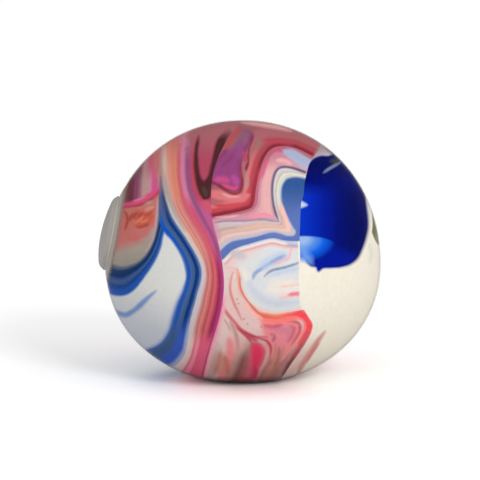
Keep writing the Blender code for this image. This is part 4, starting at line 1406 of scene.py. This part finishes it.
def turned(name, section, closed):
    """Spin a section of radius and height round the plug's axis into a closed solid."""
    edges = [(i, i + 1) for i in range(len(section) - 1)]
    if closed:
        edges.append((len(section) - 1, 0))
    mesh = bpy.data.meshes.new(name)
    mesh.from_pydata([(radius, 0.0, height) for radius, height in section], edges, [])
    obj = bpy.data.objects.new(name, mesh)
    bpy.context.scene.collection.objects.link(obj)
    only(obj)
    bpy.ops.object.mode_set(mode="EDIT")
    bpy.ops.mesh.select_all(action="SELECT")
    bpy.ops.mesh.spin(steps=ROUND_STEPS, angle=math.tau, center=(0, 0, 0), axis=(0, 0, 1))
    bpy.ops.mesh.select_all(action="SELECT")
    bpy.ops.mesh.remove_doubles(threshold=0.000001)
    bpy.ops.mesh.normals_make_consistent(inside=False)
    bpy.ops.object.mode_set(mode="OBJECT")
    points = corners(obj)
    above = points[:, 2] > HEAD_BASE + FLATNESS
    lean = 1 - HEAD_LEAN * points[above, 0] / rim
    points[above, 2] = HEAD_BASE + (points[above, 2] - HEAD_BASE) * lean
    move_corners(obj, points)
    obj.rotation_euler = (0.0, tilt - math.pi / 2, 0.0)
    obj.location = seat
    bpy.ops.object.transform_apply(location=True, rotation=True, scale=True)
    return obj


flange = [(rim, HEAD_BASE), (rim, 0.00045), (0.992 * rim, 0.00055), (0.974 * rim, 0.00058)]
dome = smooth([
    (0.966 * rim, 0.00064), (0.955 * rim, 0.00086), (0.92 * rim, 0.0012), (0.86 * rim, 0.00152),
    (0.70 * rim, 0.00192), (0.53 * rim, 0.00222), (0.33 * rim, 0.00245), (0.15 * rim, 0.00256),
    (0.0, HEAD_CROWN),
])
dome = flange + [(max(radius, 0.0), height) for radius, height in dome]
stem = [
    (0.0, HOLLOW_TOP), (HOLLOW_RADIUS * 0.9, HOLLOW_TOP), (HOLLOW_RADIUS, HOLLOW_TOP - 0.0004),
    (HOLLOW_RADIUS, STEM_TIP), (0.0034, STEM_TIP), (0.0037, STEM_TIP + 0.0004),
    (BARB_DIAMETER / 2, -0.0056), (BARB_DIAMETER / 2, -0.0046), (STEM_DIAMETER / 2, -0.0044),
    (STEM_DIAMETER / 2, HEAD_BASE),
]
plug_stopper = turned("plug_stopper", stem + dome, False)
bead = rim + BEAD_OUT
glue_bead = turned("glue_bead", [
    (GLUE_HOLE, -0.00015), (rim - 0.0012, -0.00017), (rim - 0.0008, -GROOVE), (bead, -GROOVE),
    (bead, 0.00005), (bead - 0.00005, 0.00022), (bead - 0.00016, 0.00028), (rim + 0.00002, 0.00018),
    (rim - 0.0003, 0.00016), (GLUE_HOLE, 0.00015),
], True)
seat_form = ball("seat_form", -GLUE_GAP, SKIN_FINENESS)
cap = rod("cap", CAP_DIAMETER, -SEAT_OFFSET + GLUE_GAP, ROD_END)
cut(seat_form, "DIFFERENCE", cap)
cut(glue_bead, "DIFFERENCE", seat_form)
drop(seat_form, cap)
print("plug", len(plug_stopper.data.polygons), "faces, glue", len(glue_bead.data.polygons), "faces")

# %% [markdown]
# ## Materials of the skin, the plug and the glue
#
# The skin and the plug are soft rubber with a satin surface that is a little uneven. The plug is
# frosted, so it looks grey and milky, and so does the skin's thick collar round it. The glue is
# slightly yellow.

# %% Build the rubber and glue materials
SKIN_ALPHA = 0.001
SKIN_RIM_ALPHA = 0.34
RIM_START = 0.78
COLLAR_ALPHA = 0.68
COLLAR_FULL = 0.0098
COLLAR_FADE = 0.0132


def rubber(name, shade, rougher, uneven, obj):
    """A plain shade with cloudy variation and a satin that varies a little."""
    tree, shader = new_surface(name, obj)
    finish_surface(tree, shader, (*linear(shade), 1.0), uneven, rougher)
    return tree, shader


rubber("frosted plug rubber", "frosted", 0.05, 0.12, plug_stopper)
rubber("cured glue", "glue", -0.15, 0.15, glue_bead)
tree, skin_shader = rubber("clear skin rubber", "clear veil", -0.05, 0.05, clear_skin)
points = corners(clear_skin) - np.array(seat)
from_axis = np.linalg.norm(np.cross(points, np.array(outward)), axis=1)
from_axis[points @ np.array(outward) < -COLLAR_DEPTH] = COLLAR_FADE
collar_place = store(clear_skin, "from_axis", from_axis, tree)
# Painted reflection: the skin grows more opaque in its grey tone where it turns away from the camera,
# standing in for the grey surroundings that a clear skin reflects there.
turning = add(tree, "LayerWeight", Blend=0.5)
veil = add(tree, "MapRange", interpolation_type="SMOOTHSTEP", Value=turning.outputs["Facing"],
           From_Min=RIM_START, To_Min=SKIN_ALPHA, To_Max=SKIN_RIM_ALPHA)
milky = add(tree, "MapRange", interpolation_type="SMOOTHSTEP", Value=collar_place,
            From_Min=COLLAR_FADE, From_Max=COLLAR_FULL)
thick = reckon(tree, "MULTIPLY", milky.outputs[0], COLLAR_ALPHA)
cover = reckon(tree, "MAXIMUM", veil.outputs[0], thick)
clear_tone = skin_shader.inputs["Base Color"].links[0].from_socket
tinted = add(tree, "Mix", data_type="RGBA", Factor=milky.outputs[0], i6=clear_tone,
             i7=(*linear("milky collar"), 1.0))
tree.links.new(tinted.outputs[2], skin_shader.inputs["Base Color"])
tree.links.new(cover, skin_shader.inputs["Alpha"])

# %% [markdown]
# ## What carries each piece
#
# Every piece says which body carries it. The skin and the dough ride on the ball, and the plug and its
# glue ride on the plug.

# %% Say what carries each piece
SMOOTH_ANGLE = math.radians(40)

pieces = {"skin": clear_skin, **lumps}
for node, piece in pieces.items():
    only(piece)
    bpy.ops.object.shade_smooth_by_angle(angle=SMOOTH_ANGLE)
    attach(piece, "ball")
    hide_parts(node)
    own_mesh(piece)
for node, piece in {"fill_plug": plug_stopper, "glue_ring": glue_bead}.items():
    only(piece)
    bpy.ops.object.shade_smooth_by_angle(angle=SMOOTH_ANGLE)
    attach(piece, "plug")
    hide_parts(node)
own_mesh(glue_bead)

# %% [markdown]
# ## Floor and light
#
# The photograph has a white table and soft light from all round, a little stronger from the front right.
# An even grey world gives the all-round light, and a key lamp and two large low fills add the rest. For
# the camera the floor is paler than white paper, so that it burns out to white but keeps the shadow.

# %% Lay the floor and hang the lights
WORLD_LIGHT = 0.63
MIRRORED_LIGHT = 0.30
FLOOR_TONE = 0.76
FLOOR_FOR_CAMERA = 1.34
FLOOR_SIZE = 8.0

bpy.ops.object.select_all(action="DESELECT")
bpy.ops.mesh.primitive_plane_add(size=FLOOR_SIZE)
floor = bpy.context.object
floor.name = "floor"
table_top = bpy.data.materials.new("white table")
table_top.use_nodes = True
tree = table_top.node_tree
rays = add(tree, "LightPath")
tone = add(tree, "MapRange", Value=rays.outputs["Is Camera Ray"], To_Min=FLOOR_TONE,
           To_Max=FLOOR_FOR_CAMERA)
paper = add(tree, "BsdfDiffuse", Color=tone.outputs[0])
tree.links.new(paper.outputs[0], tree.nodes["Material Output"].inputs["Surface"])
floor.data.materials.append(table_top)

world = bpy.data.worlds.new("studio")
bpy.context.scene.world = world
world.use_nodes = True
tree = world.node_tree
rays = add(tree, "LightPath")
soft = add(tree, "MapRange", Value=rays.outputs["Is Glossy Ray"], To_Min=WORLD_LIGHT,
           To_Max=MIRRORED_LIGHT)
tone = add(tree, "MapRange", Value=rays.outputs["Is Camera Ray"], To_Min=soft.outputs[0], To_Max=1.0)
tree.links.new(tone.outputs[0], tree.nodes["Background"].inputs["Color"])


def lamp(name, place, size, power):
    bpy.ops.object.light_add(type="AREA", location=place)
    light = bpy.context.object
    light.name = name
    light.rotation_euler = (middle - Vector(place)).to_track_quat("-Z", "Y").to_euler()
    light.data.size = size
    light.data.energy = power
    light.visible_glossy = False


lamp("key", (1.3, -2.5, 1.5), 1.0, 30.0)
lamp("right fill", (2.6, -1.6, 0.6), 2.0, 18.5)
lamp("left fill", (-2.4, -1.8, 0.8), 2.0, 13.0)
bpy.context.scene.view_settings.view_transform = "Standard"
